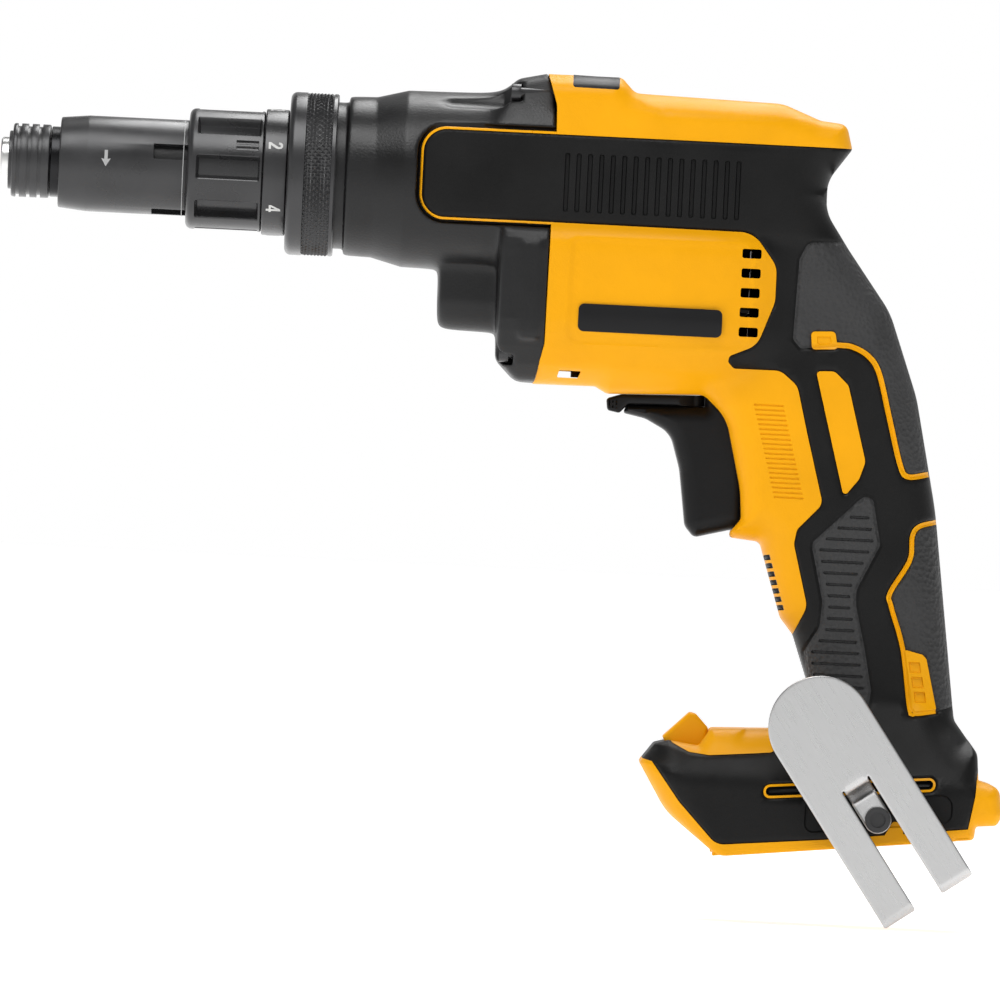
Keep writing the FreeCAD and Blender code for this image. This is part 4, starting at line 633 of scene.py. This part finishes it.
def gear_case():
    """Boss, band, hump and the rest blended into one form, its rooms cut out."""
    xs = np.arange(102.5, 190.5, CASE_GRID)
    ys = np.arange(-33.0, 33.01, CASE_GRID)
    zs = np.arange(-70.0, 41.0, CASE_GRID)
    x, y, z = np.meshgrid(xs, ys, zs, indexing="ij", sparse=True)
    wide = np.abs(y)
    radius = np.sqrt(y * y + z * z)
    boss = soft_max(radius - BOSS_RADIUS, BOSS_FRONT - x, 0.6)
    band = soft_max(radius - np.interp(x, BAND_X, BAND_RADIUS), BAND_FRONT - x, 0.9)
    slope = (wide - PANEL_HALF + 0.62 * np.maximum(z - 19.0, 0)) / 1.18
    hump = soft_max(flat_distance(rounded(HUMP), xs, zs), slope, 4.0)
    motor_end = soft_max(flat_distance(rounded(MOTOR_END), xs, zs), wide - motor_width(z), 2.5)
    rib = np.sqrt(np.maximum(np.abs(x - 182.0) - 1.5, 0) ** 2 + (wide - 29.6) ** 2) - 2.6
    rib = soft_max(rib, np.abs(z + 36.0) - 17.0, 2.5)
    bump_round = np.sqrt(y * y + (z - MOTOR_Z) ** 2) - SHAFT_BUMP_RADIUS
    bump = soft_max(bump_round, SHAFT_BUMP_FRONT - x, 3.0)
    web = np.maximum(soft_max(wide - SHAFT_BUMP_RADIUS, SHAFT_BUMP_FRONT - x, 3.0),
                     np.maximum(z + 18.0, MOTOR_Z - z))
    form = boss
    for part, blend in ((band, 0.3), (hump, 3.5), (motor_end, 2.0), (rib, 1.5), (np.minimum(bump, web), 1.6)):
        form = soft_min(form, part, blend)
    recess = np.maximum(flat_distance(rounded(WING), xs, zs) - WING_GAP, WING_SEAT - wide)
    form = soft_max(form, -recess, 0.5)
    upper_radius = np.interp(x, [145.0, 152.0, 170.0, 172.0], [3.5, 5.6, 5.9, 4.2])
    for (across, up, rear), hole, blend in ((UPPER_SCREW, upper_radius, 0.6),
                                            (LOWER_SCREW, LOWER_SCREW_RADIUS, 0.8)):
        pocket = np.sqrt((wide - across) ** 2 + (z - up) ** 2) - hole
        form = soft_max(form, -np.maximum(pocket, x - rear), blend)
    seam_x = np.interp(zs, CASE_SEAM_Z, CASE_SEAM_X)
    tongue = np.maximum(form + TONGUE_INSET, x - TONGUE_END)
    form = np.minimum(np.maximum(form, x - seam_x[None, None, :] + CASE_SEAM_GAP), tongue)
    nose_room = np.maximum(radius - 20.4, x - 135.0)
    gear_room = np.maximum(radius - 17.5, np.abs(x - 166.0) - 14.0)
    drive_room = np.maximum(np.sqrt(y * y + (z + 20.4) ** 2) - 18.0, np.abs(x - 179.0) - 4.5)
    form = np.maximum(form, -np.minimum(nose_room, np.minimum(gear_room, drive_room)))
    form = np.broadcast_to(form, (len(xs), len(ys), len(zs)))
    grid = openvdb.FloatGrid(background=CASE_DEEPEST)
    grid.copyFromArray(np.clip(form, -CASE_DEEPEST, CASE_DEEPEST).astype(np.float32))
    places, quads = grid.convertToQuads(isovalue=0.0)
    places = places * CASE_GRID + np.array([xs[0], ys[0], zs[0]])
    return make_piece("gear_case_form", places, quads[:, ::-1].tolist(), 50.0)


# Trigger, direction lever and light tower


def pillow(name, loop, half, radius, grooves=(), round_end=None):
    """Closed form over a side outline, the same on both sides, with rounded edges."""
    loops = [dense(loop, 0.9)] + [dense(groove, 1.2) for groove, depth in grooves]
    loose = []
    for inset in PILLOW_RINGS:
        ring = dense(offset(loops[0], inset), max(0.8, 0.3 * inset))
        gap = distance(ring, loops[0])
        loose += list(ring[inside(ring, loop) & (gap > 0.9 * inset)])
    places, triangles = meshed(loops, loose)
    triangles = triangles[inside(places[triangles].mean(axis=1), loop)]
    width = half - round_drop(distance(places, loop), radius)
    for groove, depth in grooves:
        width = width - depth * ease(distance(places, groove), 0.0, 0.25) * inside(places, groove)
    x, z = places.T
    if round_end:
        middle, reach = round_end
        past = x - middle
        arc = np.sqrt(np.maximum(reach ** 2 - past ** 2, 0))
        width = np.minimum(width, np.where(past > 0, arc, reach - 0.6 * past))
    width = np.maximum(width, 0.3)
    left = columns(x, -width, z)
    right = columns(x, width, z)
    return solid(name, left, right, triangles, -1)


TRIGGER = [
    (215.4, -75.9, 0.8), (223, -77.4, 8), (231.7, -82, 9), (235.4, -94, 20), (238.1, -113.2, 4),
    (241.4, -117, 2.4), (253.1, -114, 0.8), (259, -113.4, 1), (259, -78, 4), (252, -69.6, 2),
    (243.03, -69, 0.3), (243.03, -72.43, 0.3), (216.4, -72.922, 0.8),
]
LEVER = [
    (209.5, -71.2, 1.2), (214.5, -69.55, 0.5), (243, -68.65, 0.3), (243, -72.4, 0.3), (217, -72.88, 1.2),
    (214.2, -76, 1.2), (210, -75.2, 1.2),
]
LEVER_PIVOT = 239.5
LEVER_END = 243.0
LEVER_RIBS, LEVER_RIB_X, LEVER_RIB_PITCH, LEVER_RIB_WIDTH = 3, 210.3, 1.2, 0.6
LIGHT_TOWER = [
    (234, -185, 0.8), (243, -176.2, 1.2), (245.2, -176.8, 0.8), (249.4, -181.2, 1), (248.6, -188.8, 0.6),
    (236.4, -188.8, 0.6),
]


def light_tower():
    return pillow("light_tower", rounded(LIGHT_TOWER, 0.5), 11.5, 1.2)


def trigger():
    return pillow("trigger_form", rounded(TRIGGER, 0.6), 8.4, 5.0)


def lever():
    ribs = []
    for i in range(LEVER_RIBS):
        x = LEVER_RIB_X + LEVER_RIB_PITCH * i
        ribs.append((rectangle(x, x + LEVER_RIB_WIDTH, -74.6, -71.6, 0.2), 0.6))
    return pillow("lever_form", rounded(LEVER, 0.5), 6.8, 1.1, ribs,
                  round_end=(LEVER_PIVOT, LEVER_END - LEVER_PIVOT))


# Rings of the nose


def turned(name, rows, count):
    """Closed ring from rows of (x, radius by angle) that go round its section once."""
    angles = 2 * np.pi * np.arange(count) / count
    points = []
    for x, radius in rows:
        r = radius(angles) if callable(radius) else np.full(count, radius)
        points.append(columns(np.full(count, x), r * np.cos(angles), r * np.sin(angles)))
    faces = []
    for i in range(len(rows)):
        here, there = i * count, (i + 1) % len(rows) * count
        for k in range(count):
            n = (k + 1) % count
            faces.append((here + k, here + n, there + n, there + k))
    return make_piece(name, np.vstack(points), faces, 32.0)


def wave(value):
    """Triangle wave between 0 and 1 with a period of 1."""
    return np.abs(2 * (value - np.floor(value + 0.5)))


EDGE_ROUND = 2.2
COLLAR_FRONT = 97.65
COLLAR_BORE, COLLAR_SEAT = 19.0, 25.15
KNURLS, KNURL_PITCH = 76, 2.3
KNURL_ROOT, KNURL_RISE = 27.0, 0.7


def round_front(x, radius, start):
    """Rows of a ring's rounded front edge, from a small angle past its face."""
    return [(x + EDGE_ROUND * (1 - math.cos(a)), radius + EDGE_ROUND * math.sin(a))
            for a in np.linspace(start, math.pi / 2, 7)]


def knurl(x):
    """Radius by angle where two sets of slanting grooves cross."""
    def radius(a):
        turn = a * KNURLS / (2 * np.pi)
        cross = np.minimum(wave(turn + x / KNURL_PITCH), wave(turn - x / KNURL_PITCH))
        return KNURL_ROOT + KNURL_RISE * cross
    return radius


def knurled_collar():
    rows = [(100.5, COLLAR_SEAT), (100.5, COLLAR_BORE), (COLLAR_FRONT, COLLAR_BORE)]
    rows += [(COLLAR_FRONT, 23.0), (COLLAR_FRONT, 25.6)]
    rows += round_front(COLLAR_FRONT, 25.5, 0.15)
    rows += [(103.3, 27.7), (103.5, 27.2)]
    rows += [(x, knurl(x)) for x in np.arange(103.7, 112.2, 0.2)]
    rows += [(112.3, 27.2), (112.5, 27.6), (113.6, 27.6), (114.0, 27.2), (114.0, COLLAR_SEAT)]
    return turned("collar_knurled", rows, 12 * KNURLS)


FLUTES = 8
FLUTE_DEPTH = 3.0
RING_FRONT = 63.6
RING_RADIUS, RING_BORE = 20.5, 17.0
POINTER_ANGLE = 24.0
POINTER_X = (80.0, 87.6)
POINTER_SHIFT, POINTER_DEPTH = 0.055, 0.7


def adjusting_ring():
    """Ring with wide flutes between bars, and a twin pointer groove by the first number."""
    def outer(x):
        share = ease(x, 66.6, 67.6) * (1 - ease(x, 87.6, 88.3))
        def radius(a):
            turn = math.pi - a - math.radians(POINTER_ANGLE)
            flute = ease(wave(turn * FLUTES / (2 * np.pi)), 0.48, 0.60) * FLUTE_DEPTH * share
            pointer = np.zeros_like(a)
            if POINTER_X[0] < x < POINTER_X[1]:
                for shift in (-POINTER_SHIFT, POINTER_SHIFT):
                    gap = np.abs((turn + np.pi) % (2 * np.pi) - np.pi + shift)
                    pointer = np.maximum(pointer, 1.0 - ease(gap, 0.02, 0.035))
            return RING_RADIUS - flute - POINTER_DEPTH * pointer
        return radius
    front = [(64.2, RING_BORE), (63.7, 17.4), (RING_FRONT, 18.4)] + round_front(RING_FRONT, 18.3, 0.1)
    stations = np.concatenate([np.arange(66.4, 68.0, 0.2), np.arange(68.0, 87.5, 1.0), [79.95, 80.05],
                               np.arange(87.5, 88.5, 0.15)])
    rows = front + [(x, outer(x)) for x in np.sort(stations)]
    rows += [(88.9, RING_RADIUS), (89.3, 20.1), (89.3, RING_BORE)]
    return turned("ring_fluted", rows, 480)


MARK_SINK = 0.15


def bent(name, loops, x, angle, radius, lift, along, look):
    """Thin closed plate of a flat drawing laid round a ring."""
    flat, triangles = meshed(loops, (), 1, 1e-5)
    centres = flat[triangles].mean(axis=1)
    keep = np.zeros(len(triangles), bool)
    for loop in loops:
        keep ^= inside(centres, np.array(loop))
    triangles = triangles[keep]
    u, v = (flat[:, 0], flat[:, 1]) if along else (flat[:, 1], -flat[:, 0])
    turn = math.radians(angle) + v / radius
    front, back = (columns(x + u, -r * np.cos(turn), r * np.sin(turn))
                   for r in (radius + lift, radius - MARK_SINK))
    return solid(name, front, back, triangles, -1, [look])


def mirrored(*half):
    """Closed loop that is the same on both sides, from the points of its right half."""
    left = [(-x, z) for x, z in reversed(half)]
    return [left[-1], *half, *left[:-1]]


DIGITS = {
    "1": [[(-0.2, -1), (0.2, -1), (0.2, 1), (-0.15, 1), (-0.5, 0.7), (-0.5, 0.4), (-0.2, 0.6)]],
    "2": [
        [(-0.6, -1), (0.6, -1), (0.6, -0.68), (-0.12, -0.68), (0.45, 0), (0.6, 0.4), (0.5, 0.8),
         (0.2, 1), (-0.2, 1), (-0.5, 0.8), (-0.6, 0.45), (-0.25, 0.4), (-0.15, 0.62), (0.05, 0.7),
         (0.22, 0.6), (0.22, 0.35), (-0.6, -0.7)],
    ],
    "4": [
        [(0.1, -1), (0.45, -1), (0.45, -0.6), (0.68, -0.6), (0.68, -0.3), (0.45, -0.3),
         (0.45, 1), (0.1, 1), (-0.65, -0.28), (-0.65, -0.6), (0.1, -0.6)],
        [(0.1, -0.3), (0.1, 0.4), (-0.3, -0.3)],
    ],
    "6": [
        [(0.3, 1), (-0.05, 1), (-0.5, 0.2), (-0.62, -0.3), (-0.5, -0.75), (-0.2, -1),
         (0.2, -1), (0.5, -0.75), (0.62, -0.35), (0.5, 0.05), (0.2, 0.25), (-0.08, 0.22)],
        [(0, -0.05), (0.22, -0.15), (0.26, -0.4), (0.15, -0.65), (-0.1, -0.68), (-0.26, -0.5),
         (-0.26, -0.25)],
    ],
    "8": [
        mirrored((0.2, -1), (0.55, -0.75), (0.6, -0.4), (0.35, 0.05), (0.52, 0.35), (0.5, 0.7), (0.2, 1)),
        mirrored((0.1, 0.2), (0.2, 0.45), (0.1, 0.7)),
        mirrored((0.12, -0.7), (0.25, -0.42), (0.1, -0.12)),
    ],
    "0": [
        mirrored((0.25, -1), (0.55, -0.65), (0.62, 0), (0.55, 0.65), (0.25, 1)),
        mirrored((0.1, -0.68), (0.25, -0.4), (0.28, 0), (0.25, 0.4), (0.1, 0.68)),
    ],
}
NUMERAL_WIDTH = 2.1
NUMERAL_HEIGHT = 2.45
NUMERAL_SPACING = 1.35
NUMBER_STEP = 60.0
NUMBER_X, NUMBER_RADIUS, NUMBER_LIFT = 93.4, 21.4, 0.1


def ring_numbers():
    made = []
    for step, label in enumerate(("2", "4", "6", "8", "10", "12")):
        angle = POINTER_ANGLE - NUMBER_STEP * step
        for place, digit in enumerate(label):
            shift = (place - (len(label) - 1) / 2) * NUMERAL_SPACING
            loops = [[((px + shift) * NUMERAL_WIDTH, pz * NUMERAL_HEIGHT) for px, pz in loop]
                     for loop in DIGITS[digit]]
            name = "number_%s_%d" % (label, place)
            made.append(bent(name, loops, NUMBER_X, angle, NUMBER_RADIUS, NUMBER_LIFT, False, "white_mark"))
    return made


ARROW = [(0, -1), (1.6, 1.7), (0.55, 1.5), (0.55, 4.6), (-0.55, 4.6), (-0.55, 1.5), (-1.6, 1.7)]
ARROW_X, SLEEVE_RADIUS, ARROW_LIFT = 36.0, 16.3, 0.12
SCALE_LINE = [(62.05, 16.2), (62.3, 16.2), (62.3, 16.4), (62.05, 16.4)]


def sleeve_marks():
    """Arrow and scale line on the sleeve."""
    arrow = bent("sleeve_arrow", [ARROW], ARROW_X, 0.0, SLEEVE_RADIUS, ARROW_LIFT, True, "grey_mark")
    line = turned("sleeve_line", SCALE_LINE, 180)
    dress(line, "grey_mark")
    return arrow, line


# Battery bay as blocks (x from, x to, y from, y to, height from, height to)
BAY_BLOCKS = (
    (250, 339, -35.2, 35.2, 13.2, 15.2), (249, 251.3, -33, 33, 7.5, 15),
    (252.5, 339.5, -35.4, -29.3, 0.3, 3.5), (252.5, 339.5, 29.3, 35.4, 0.3, 3.5),
)
BLOCK_FACES = ((0, 3, 2, 1), (4, 5, 6, 7), (0, 1, 5, 4), (1, 2, 6, 5), (2, 3, 7, 6), (3, 0, 4, 7))


def bay_liner():
    """Ceiling, front wall and rails of the battery bay, along the foot's tilted underside."""
    x0, z0, slope = BAY_LINE
    points = []
    faces = []
    for ax, bx, ay, by, low, high in BAY_BLOCKS:
        first = len(points)
        for up in (low, high):
            for px, py in ((ax, ay), (bx, ay), (bx, by), (ax, by)):
                points.append((px, py, z0 + slope * (px - x0) + up))
        faces += [tuple(first + k for k in face) for face in BLOCK_FACES]
    piece = make_piece("bay_liner", points, faces)
    soften(piece, 0.4)
    return piece


# The hook's plate: s runs down it from the centre of its round top, t across it
HOOK_TOP = (286.8, -179.0)
HOOK_TILT = math.radians(34.75)
HOOK_HALF = 17.5
HOOK_SLOT = 5.25
HOOK_SLOT_START = 22.3
HOOK_TONGUE = 4.65
HOOK_SCREW_ALONG = 36.8
HOOK_END = 69.2
HOOK_BEND = 66.2
HOOK_FACE = -50.0
HOOK_THICK = 1.6
HOOK_EDGE = 0.4
HOOK_HOLE = 2.2
HOOK_LIP = 3.2
HOOK_STEP, HOOK_STEP_END = 10.3, 28.6


def belt_hook():
    """Bent plate with a round top, two legs with turned ends and a tongue back to its screw."""
    tongue_end = HOOK_SCREW_ALONG + HOOK_TONGUE
    half = [
        (-HOOK_HALF, HOOK_HALF, HOOK_HALF - 0.1), (HOOK_END, HOOK_HALF, 0.8), (HOOK_END, HOOK_SLOT, 0.8),
        (HOOK_SLOT_START, HOOK_SLOT, 0.25), (HOOK_SLOT_START, HOOK_TONGUE, 0.25),
        (tongue_end, HOOK_TONGUE, HOOK_TONGUE - 0.1),
    ]
    loop = rounded([(s, -t, radius) for s, t, radius in half] + half[::-1], 0.5)
    hole = circle(HOOK_SCREW_ALONG, 0.0, HOOK_HOLE)
    lines = [dense(loop, 0.8), hole]
    loose = []
    extra = [dense(offset(lines[0], inset), 0.9) for inset in (0.08, 0.2, 0.4, 0.9)]
    along, across = np.meshgrid(np.concatenate([np.arange(-17.0, 22.0, 2.0), np.arange(22.6, 30.0, 0.5),
                                                np.arange(31.0, 66.0, 2.0), np.arange(66.0, 69.2, 0.3)]),
                                np.arange(-17.2, 17.3, 0.86))
    extra.append(columns(along.ravel(), across.ravel()))
    for group, gap in zip(extra, (0.06, 0.15, 0.3, 0.7, 0.95)):
        group = group[inside(group, loop) & ~inside(group, hole)]
        loose += list(group[distance(group, loop) > gap])
    places, triangles = meshed(lines, loose)
    centres = places[triangles].mean(axis=1)
    triangles = triangles[inside(centres, loop) & ~inside(centres, hole)]
    s, t = places.T
    edge = round_drop(np.minimum(distance(places, loop), distance(places, hole)), HOOK_EDGE)
    turn = np.clip((s - HOOK_BEND) / (HOOK_END + 0.2 - HOOK_BEND), 0, 1)
    depth = HOOK_LIP * (1 - np.sqrt(1 - turn * turn))
    tongue = (np.abs(t) < HOOK_TONGUE + 0.1) & (s > HOOK_SLOT_START)
    depth = np.where(tongue, HOOK_STEP * ease(s, HOOK_SLOT_START, HOOK_STEP_END), depth)
    x = HOOK_TOP[0] + s * math.sin(HOOK_TILT) + t * math.cos(HOOK_TILT)
    z = HOOK_TOP[1] - s * math.cos(HOOK_TILT) + t * math.sin(HOOK_TILT)
    front = columns(x, HOOK_FACE + edge + depth, z)
    back = columns(x, HOOK_FACE + HOOK_THICK - edge + depth, z)
    return solid("hook_bent", front, back, triangles, -1)


def soften(piece, width):
    """Rounds the sharp edges a little."""
    weld = piece.modifiers.new("weld", "WELD")
    weld.merge_threshold = 1e-6
    bevel = piece.modifiers.new("bevel", "BEVEL")
    bevel.width = width * MM
    bevel.segments = 2
    bevel.limit_method = "ANGLE"
    bevel.angle_limit = math.radians(CREASE)
    bevel.use_clamp_overlap = True


# Materials


looks = {}
RAMP = (0.3, 0.7)
BLACKENED = (0.02, 0.02, 0.021)
SPINDLE_BRIGHT_END = 3.2


def add_node(tree, kind, source=None, **values):
    """New shader node, fed from a socket through its vector, with some of its inputs set."""
    made = tree.nodes.new("ShaderNode" + kind)
    if source is not None:
        tree.links.new(source, made.inputs["Vector"])
    for name, value in values.items():
        made.inputs[name.replace("_", " ")].default_value = value
    return made


def ramp(tree, source, places, colours):
    """Colour that runs between two, from one value of the source to another."""
    made = add_node(tree, "ValToRGB")
    for stop, place, colour in zip(made.color_ramp.elements, places, colours):
        stop.position = place
        stop.color = (*colour, 1)
    tree.links.new(source, made.inputs["Fac"])
    return made.outputs["Color"]


def coordinate(tree, space, axis):
    """One coordinate of a place."""
    place = add_node(tree, "TexCoord").outputs[space]
    return add_node(tree, "SeparateXYZ", place).outputs[axis]


def finish(name, colour, rough, metal=0.0, gloss=0.5, shade=0.1, blotch=45.0, fine=1400.0, bump=0.08,
           bump_size=0.0002, stretch=None, tilt=0.0, pebble=False, spread=0.1):
    """Surface whose colour and roughness vary, with a fine grain raised on it."""
    made = looks[name] = bpy.data.materials.new(name)
    made.use_nodes = True
    tree = made.node_tree
    shader = tree.nodes["Principled BSDF"].inputs
    shader["Metallic"].default_value = metal
    shader["Specular IOR Level"].default_value = gloss
    where = add_node(tree, "TexCoord").outputs["Object"]
    if stretch:
        lay = add_node(tree, "Mapping", where)
        lay.vector_type = "TEXTURE"
        lay.inputs["Rotation"].default_value = (0.0, tilt, 0.0)
        lay.inputs["Scale"].default_value = stretch
        where = lay.outputs["Vector"]
    broad = add_node(tree, "TexNoise", where, Scale=blotch, Detail=4.0).outputs["Fac"]
    tints = [[min(1, c * share) for c in colour] for share in (1 - shade, 1 + shade)]
    tree.links.new(ramp(tree, broad, RAMP, tints), shader["Base Color"])
    dull = add_node(tree, "MapRange", From_Min=RAMP[0], From_Max=RAMP[1], To_Min=max(0.03, rough - spread),
                    To_Max=min(1.0, rough + spread))
    tree.links.new(broad, dull.inputs["Value"])
    tree.links.new(dull.outputs["Result"], shader["Roughness"])
    if pebble:
        height = add_node(tree, "TexVoronoi", where, Scale=fine).outputs["Distance"]
    else:
        height = add_node(tree, "TexNoise", where, Scale=fine, Detail=3.0).outputs["Fac"]
    raised = add_node(tree, "Bump", Strength=bump, Distance=bump_size)
    tree.links.new(height, raised.inputs["Height"])
    tree.links.new(raised.outputs["Normal"], shader["Normal"])
    return made


def darken_behind(made, x, colour):
    """Makes a metal dark behind a station along X, as where its black finish begins."""
    tree = made.node_tree
    base = tree.nodes["Principled BSDF"].inputs["Base Color"]
    bright = base.links[0].from_socket
    past = add_node(tree, "Math")
    past.operation = "GREATER_THAN"
    past.inputs[1].default_value = x * MM
    tree.links.new(coordinate(tree, "Object", "X"), past.inputs[0])
    mix = add_node(tree, "Mix")
    mix.data_type = "RGBA"
    mix.inputs["B"].default_value = colour
    tree.links.new(past.outputs["Value"], mix.inputs["Factor"])
    tree.links.new(bright, mix.inputs["A"])
    tree.links.new(mix.outputs["Result"], base)


finish("yellow_plastic", (0.69, 0.305, 0.0005), 0.4, gloss=0.13, shade=0.04, bump=0.25, fine=1700)
finish("black_rubber", (0.006, 0.006, 0.006), 0.45, gloss=0.13, shade=0.25, bump=0.3, fine=1900)
finish("textured_rubber", (0.026, 0.026, 0.0265), 0.62, gloss=0.3, shade=0.25, bump=0.9, fine=620,
       bump_size=0.0005, pebble=True)
finish("black_plastic", (0.005, 0.005, 0.0053), 0.3, gloss=0.14, shade=0.2, bump=0.12, fine=2200)
finish("black_metal", BLACKENED, 0.3, metal=0.3, gloss=0.55, shade=0.3, bump=0.12, fine=1500)
finish("bright_steel", (0.43, 0.43, 0.43), 0.3, metal=1, shade=0.03, blotch=2600, bump=0.02, fine=4000,
       stretch=(1.0, 1.0, 40.0), tilt=-HOOK_TILT, spread=0.05)
finish("spindle_steel", (0.55, 0.55, 0.54), 0.24, metal=1, shade=0.08, bump=0.05, fine=500, spread=0.06)
darken_behind(looks["spindle_steel"], SPINDLE_BRIGHT_END, (*BLACKENED, 1))
finish("machined_steel", (0.5, 0.5, 0.5), 0.33, metal=1, shade=0.12, bump=0.15, fine=400,
       stretch=(0.055, 1.0, 1.0))
finish("spring_steel", (0.38, 0.38, 0.4), 0.32, metal=1, shade=0.15)
finish("cast_aluminium", (0.005, 0.005, 0.0053), 0.38, gloss=0.28, shade=0.3, bump=0.35, fine=1300)
finish("bronze", (0.5, 0.3, 0.12), 0.4, metal=1, shade=0.12)
finish("copper_wire", (0.62, 0.26, 0.12), 0.35, metal=1, shade=0.12)
finish("lead_insulation", (0.3, 0.012, 0.01), 0.45, shade=0.15)
finish("board_green", (0.01, 0.09, 0.03), 0.4, shade=0.2)
finish("clear_lens", (0.62, 0.64, 0.62), 0.12, shade=0.05, bump=0.3, fine=700, spread=0.05)
finish("label_black", (0.006, 0.006, 0.0065), 0.4, gloss=0.15, shade=0.2, bump=0.05)
finish("grey_mark", (0.3, 0.3, 0.3), 0.5, shade=0.1)
finish("white_mark", (0.5, 0.5, 0.49), 0.5, shade=0.06)


def dress(piece, *names):
    piece.data.materials.clear()
    for name in names:
        piece.data.materials.append(looks[name])


def join_body(piece, body, look, *replaced):
    """Puts a piece on a body, in place of some nodes, with its main material."""
    if not piece.data.materials:
        dress(piece, look)
    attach(piece, body)
    if replaced:
        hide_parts(*replaced)


def dress_nodes():
    """Materials and softened edges of the nodes that stay in view."""
    for entry in frame["record"]["subparts"]:
        dress(nodes[entry["node"]], entry["material_slot"])
    dress(nodes["spindle"], "spindle_steel")
    for name, width in (("belt_hook_screw", 0.2), ("release_sleeve", 0.25), ("scale_sleeve", 0.25),
                        ("number_ring", 0.3), ("housing_screws", 0.2), ("gear_case_screws", 0.2),
                        ("terminal_block", 0.4), ("light_lens", 0.3)):
        soften(nodes[name], width)


def build_looks():
    dress_nodes()
    for side, label in ((-1, "left"), (1, "right")):
        shell, grip = housing_side(side, label)
        join_body(shell, "body", "yellow_plastic", label + "_housing")
        join_body(grip, "body", "black_rubber", label + "_overmold")
    join_body(gear_case(), "body", "cast_aluminium", "gear_case")
    join_body(bay_liner(), "body", "yellow_plastic")
    join_body(knurled_collar(), "lock_collar", "black_metal", "knurled_collar")
    join_body(trigger(), "trigger", "black_plastic", "trigger")
    join_body(light_tower(), "body", "yellow_plastic", "light_housing")
    join_body(lever(), "reverse_lever", "black_plastic", "direction_lever")
    join_body(belt_hook(), "body", "bright_steel", "belt_hook")
    join_body(adjusting_ring(), "adjuster", "black_metal", "adjusting_ring")
    for piece in ring_numbers():
        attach(piece, "body")
    for piece in sleeve_marks():
        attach(piece, "scale")


# Studio


FLOOR = -246.6
FLOOR_REACH = 30000.0
FLOOR_GLOW = 0.72
SKY_WHITE = 0.12
SKY_DIM = 0.5
SKY_TOP = 0.25
LAMP_TILT = math.radians(31)
LAMP_TURN = math.radians(-12)
LAMP_SIZE = 0.8
LAMP_POWER = 15.0
LENS = 635.3
SENSOR = 36.0
CAMERA = ((0.99881, -0.04885, 0.0, 0.1751), (0.0, 0.0, -1.0, -6.0),
          (0.04885, 0.99881, 0.0, -0.1075), (0.0, 0.0, 0.0, 1.0))


def sky():
    """Soft light from all round, white at the horizon and dimmer overhead."""
    world = bpy.data.worlds.new("studio")
    world.use_nodes = True
    tree = world.node_tree
    fade = ramp(tree, coordinate(tree, "Generated", "Z"), (SKY_WHITE, SKY_DIM), ((1, 1, 1), (SKY_TOP,) * 3))
    tree.links.new(fade, tree.nodes["Background"].inputs["Color"])
    return world


def studio():
    """Wide pale floor, soft light, a lamp on both sides and a camera square on to the left side."""
    scene = bpy.context.scene
    corners = [(x * FLOOR_REACH, y * FLOOR_REACH, FLOOR) for x, y in ((-1, -1), (1, -1), (1, 1), (-1, 1))]
    floor = make_piece("floor", corners, [(0, 1, 2, 3)], 80.0)
    pale = finish("pale_floor", (0.9, 0.9, 0.9), 0.8, gloss=0.1, shade=0.01, bump=0.02)
    shader = pale.node_tree.nodes["Principled BSDF"].inputs
    shader["Emission Color"].default_value = (1, 1, 1, 1)
    shader["Emission Strength"].default_value = FLOOR_GLOW
    floor.data.materials.append(pale)
    scene.world = sky()
    for name, place, tilt in (("key", (-0.05, -0.7, 1.15), LAMP_TILT),
                              ("back", (0.4, 0.7, 1.15), -LAMP_TILT)):
        lamp = bpy.data.lights.new(name, "AREA")
        lamp.size = LAMP_SIZE
        lamp.energy = LAMP_POWER
        holder = bpy.data.objects.new(name, lamp)
        holder.location = place
        holder.rotation_euler = (tilt, 0, LAMP_TURN)
        scene.collection.objects.link(holder)
    lens = bpy.data.cameras.new("camera")
    lens.sensor_width = SENSOR
    lens.lens = LENS
    camera = bpy.data.objects.new("camera", lens)
    camera.matrix_world = Matrix(CAMERA)
    scene.collection.objects.link(camera)
    scene.camera = camera


bpy.context.scene.view_settings.view_transform = "Standard"
studio()
build_looks()
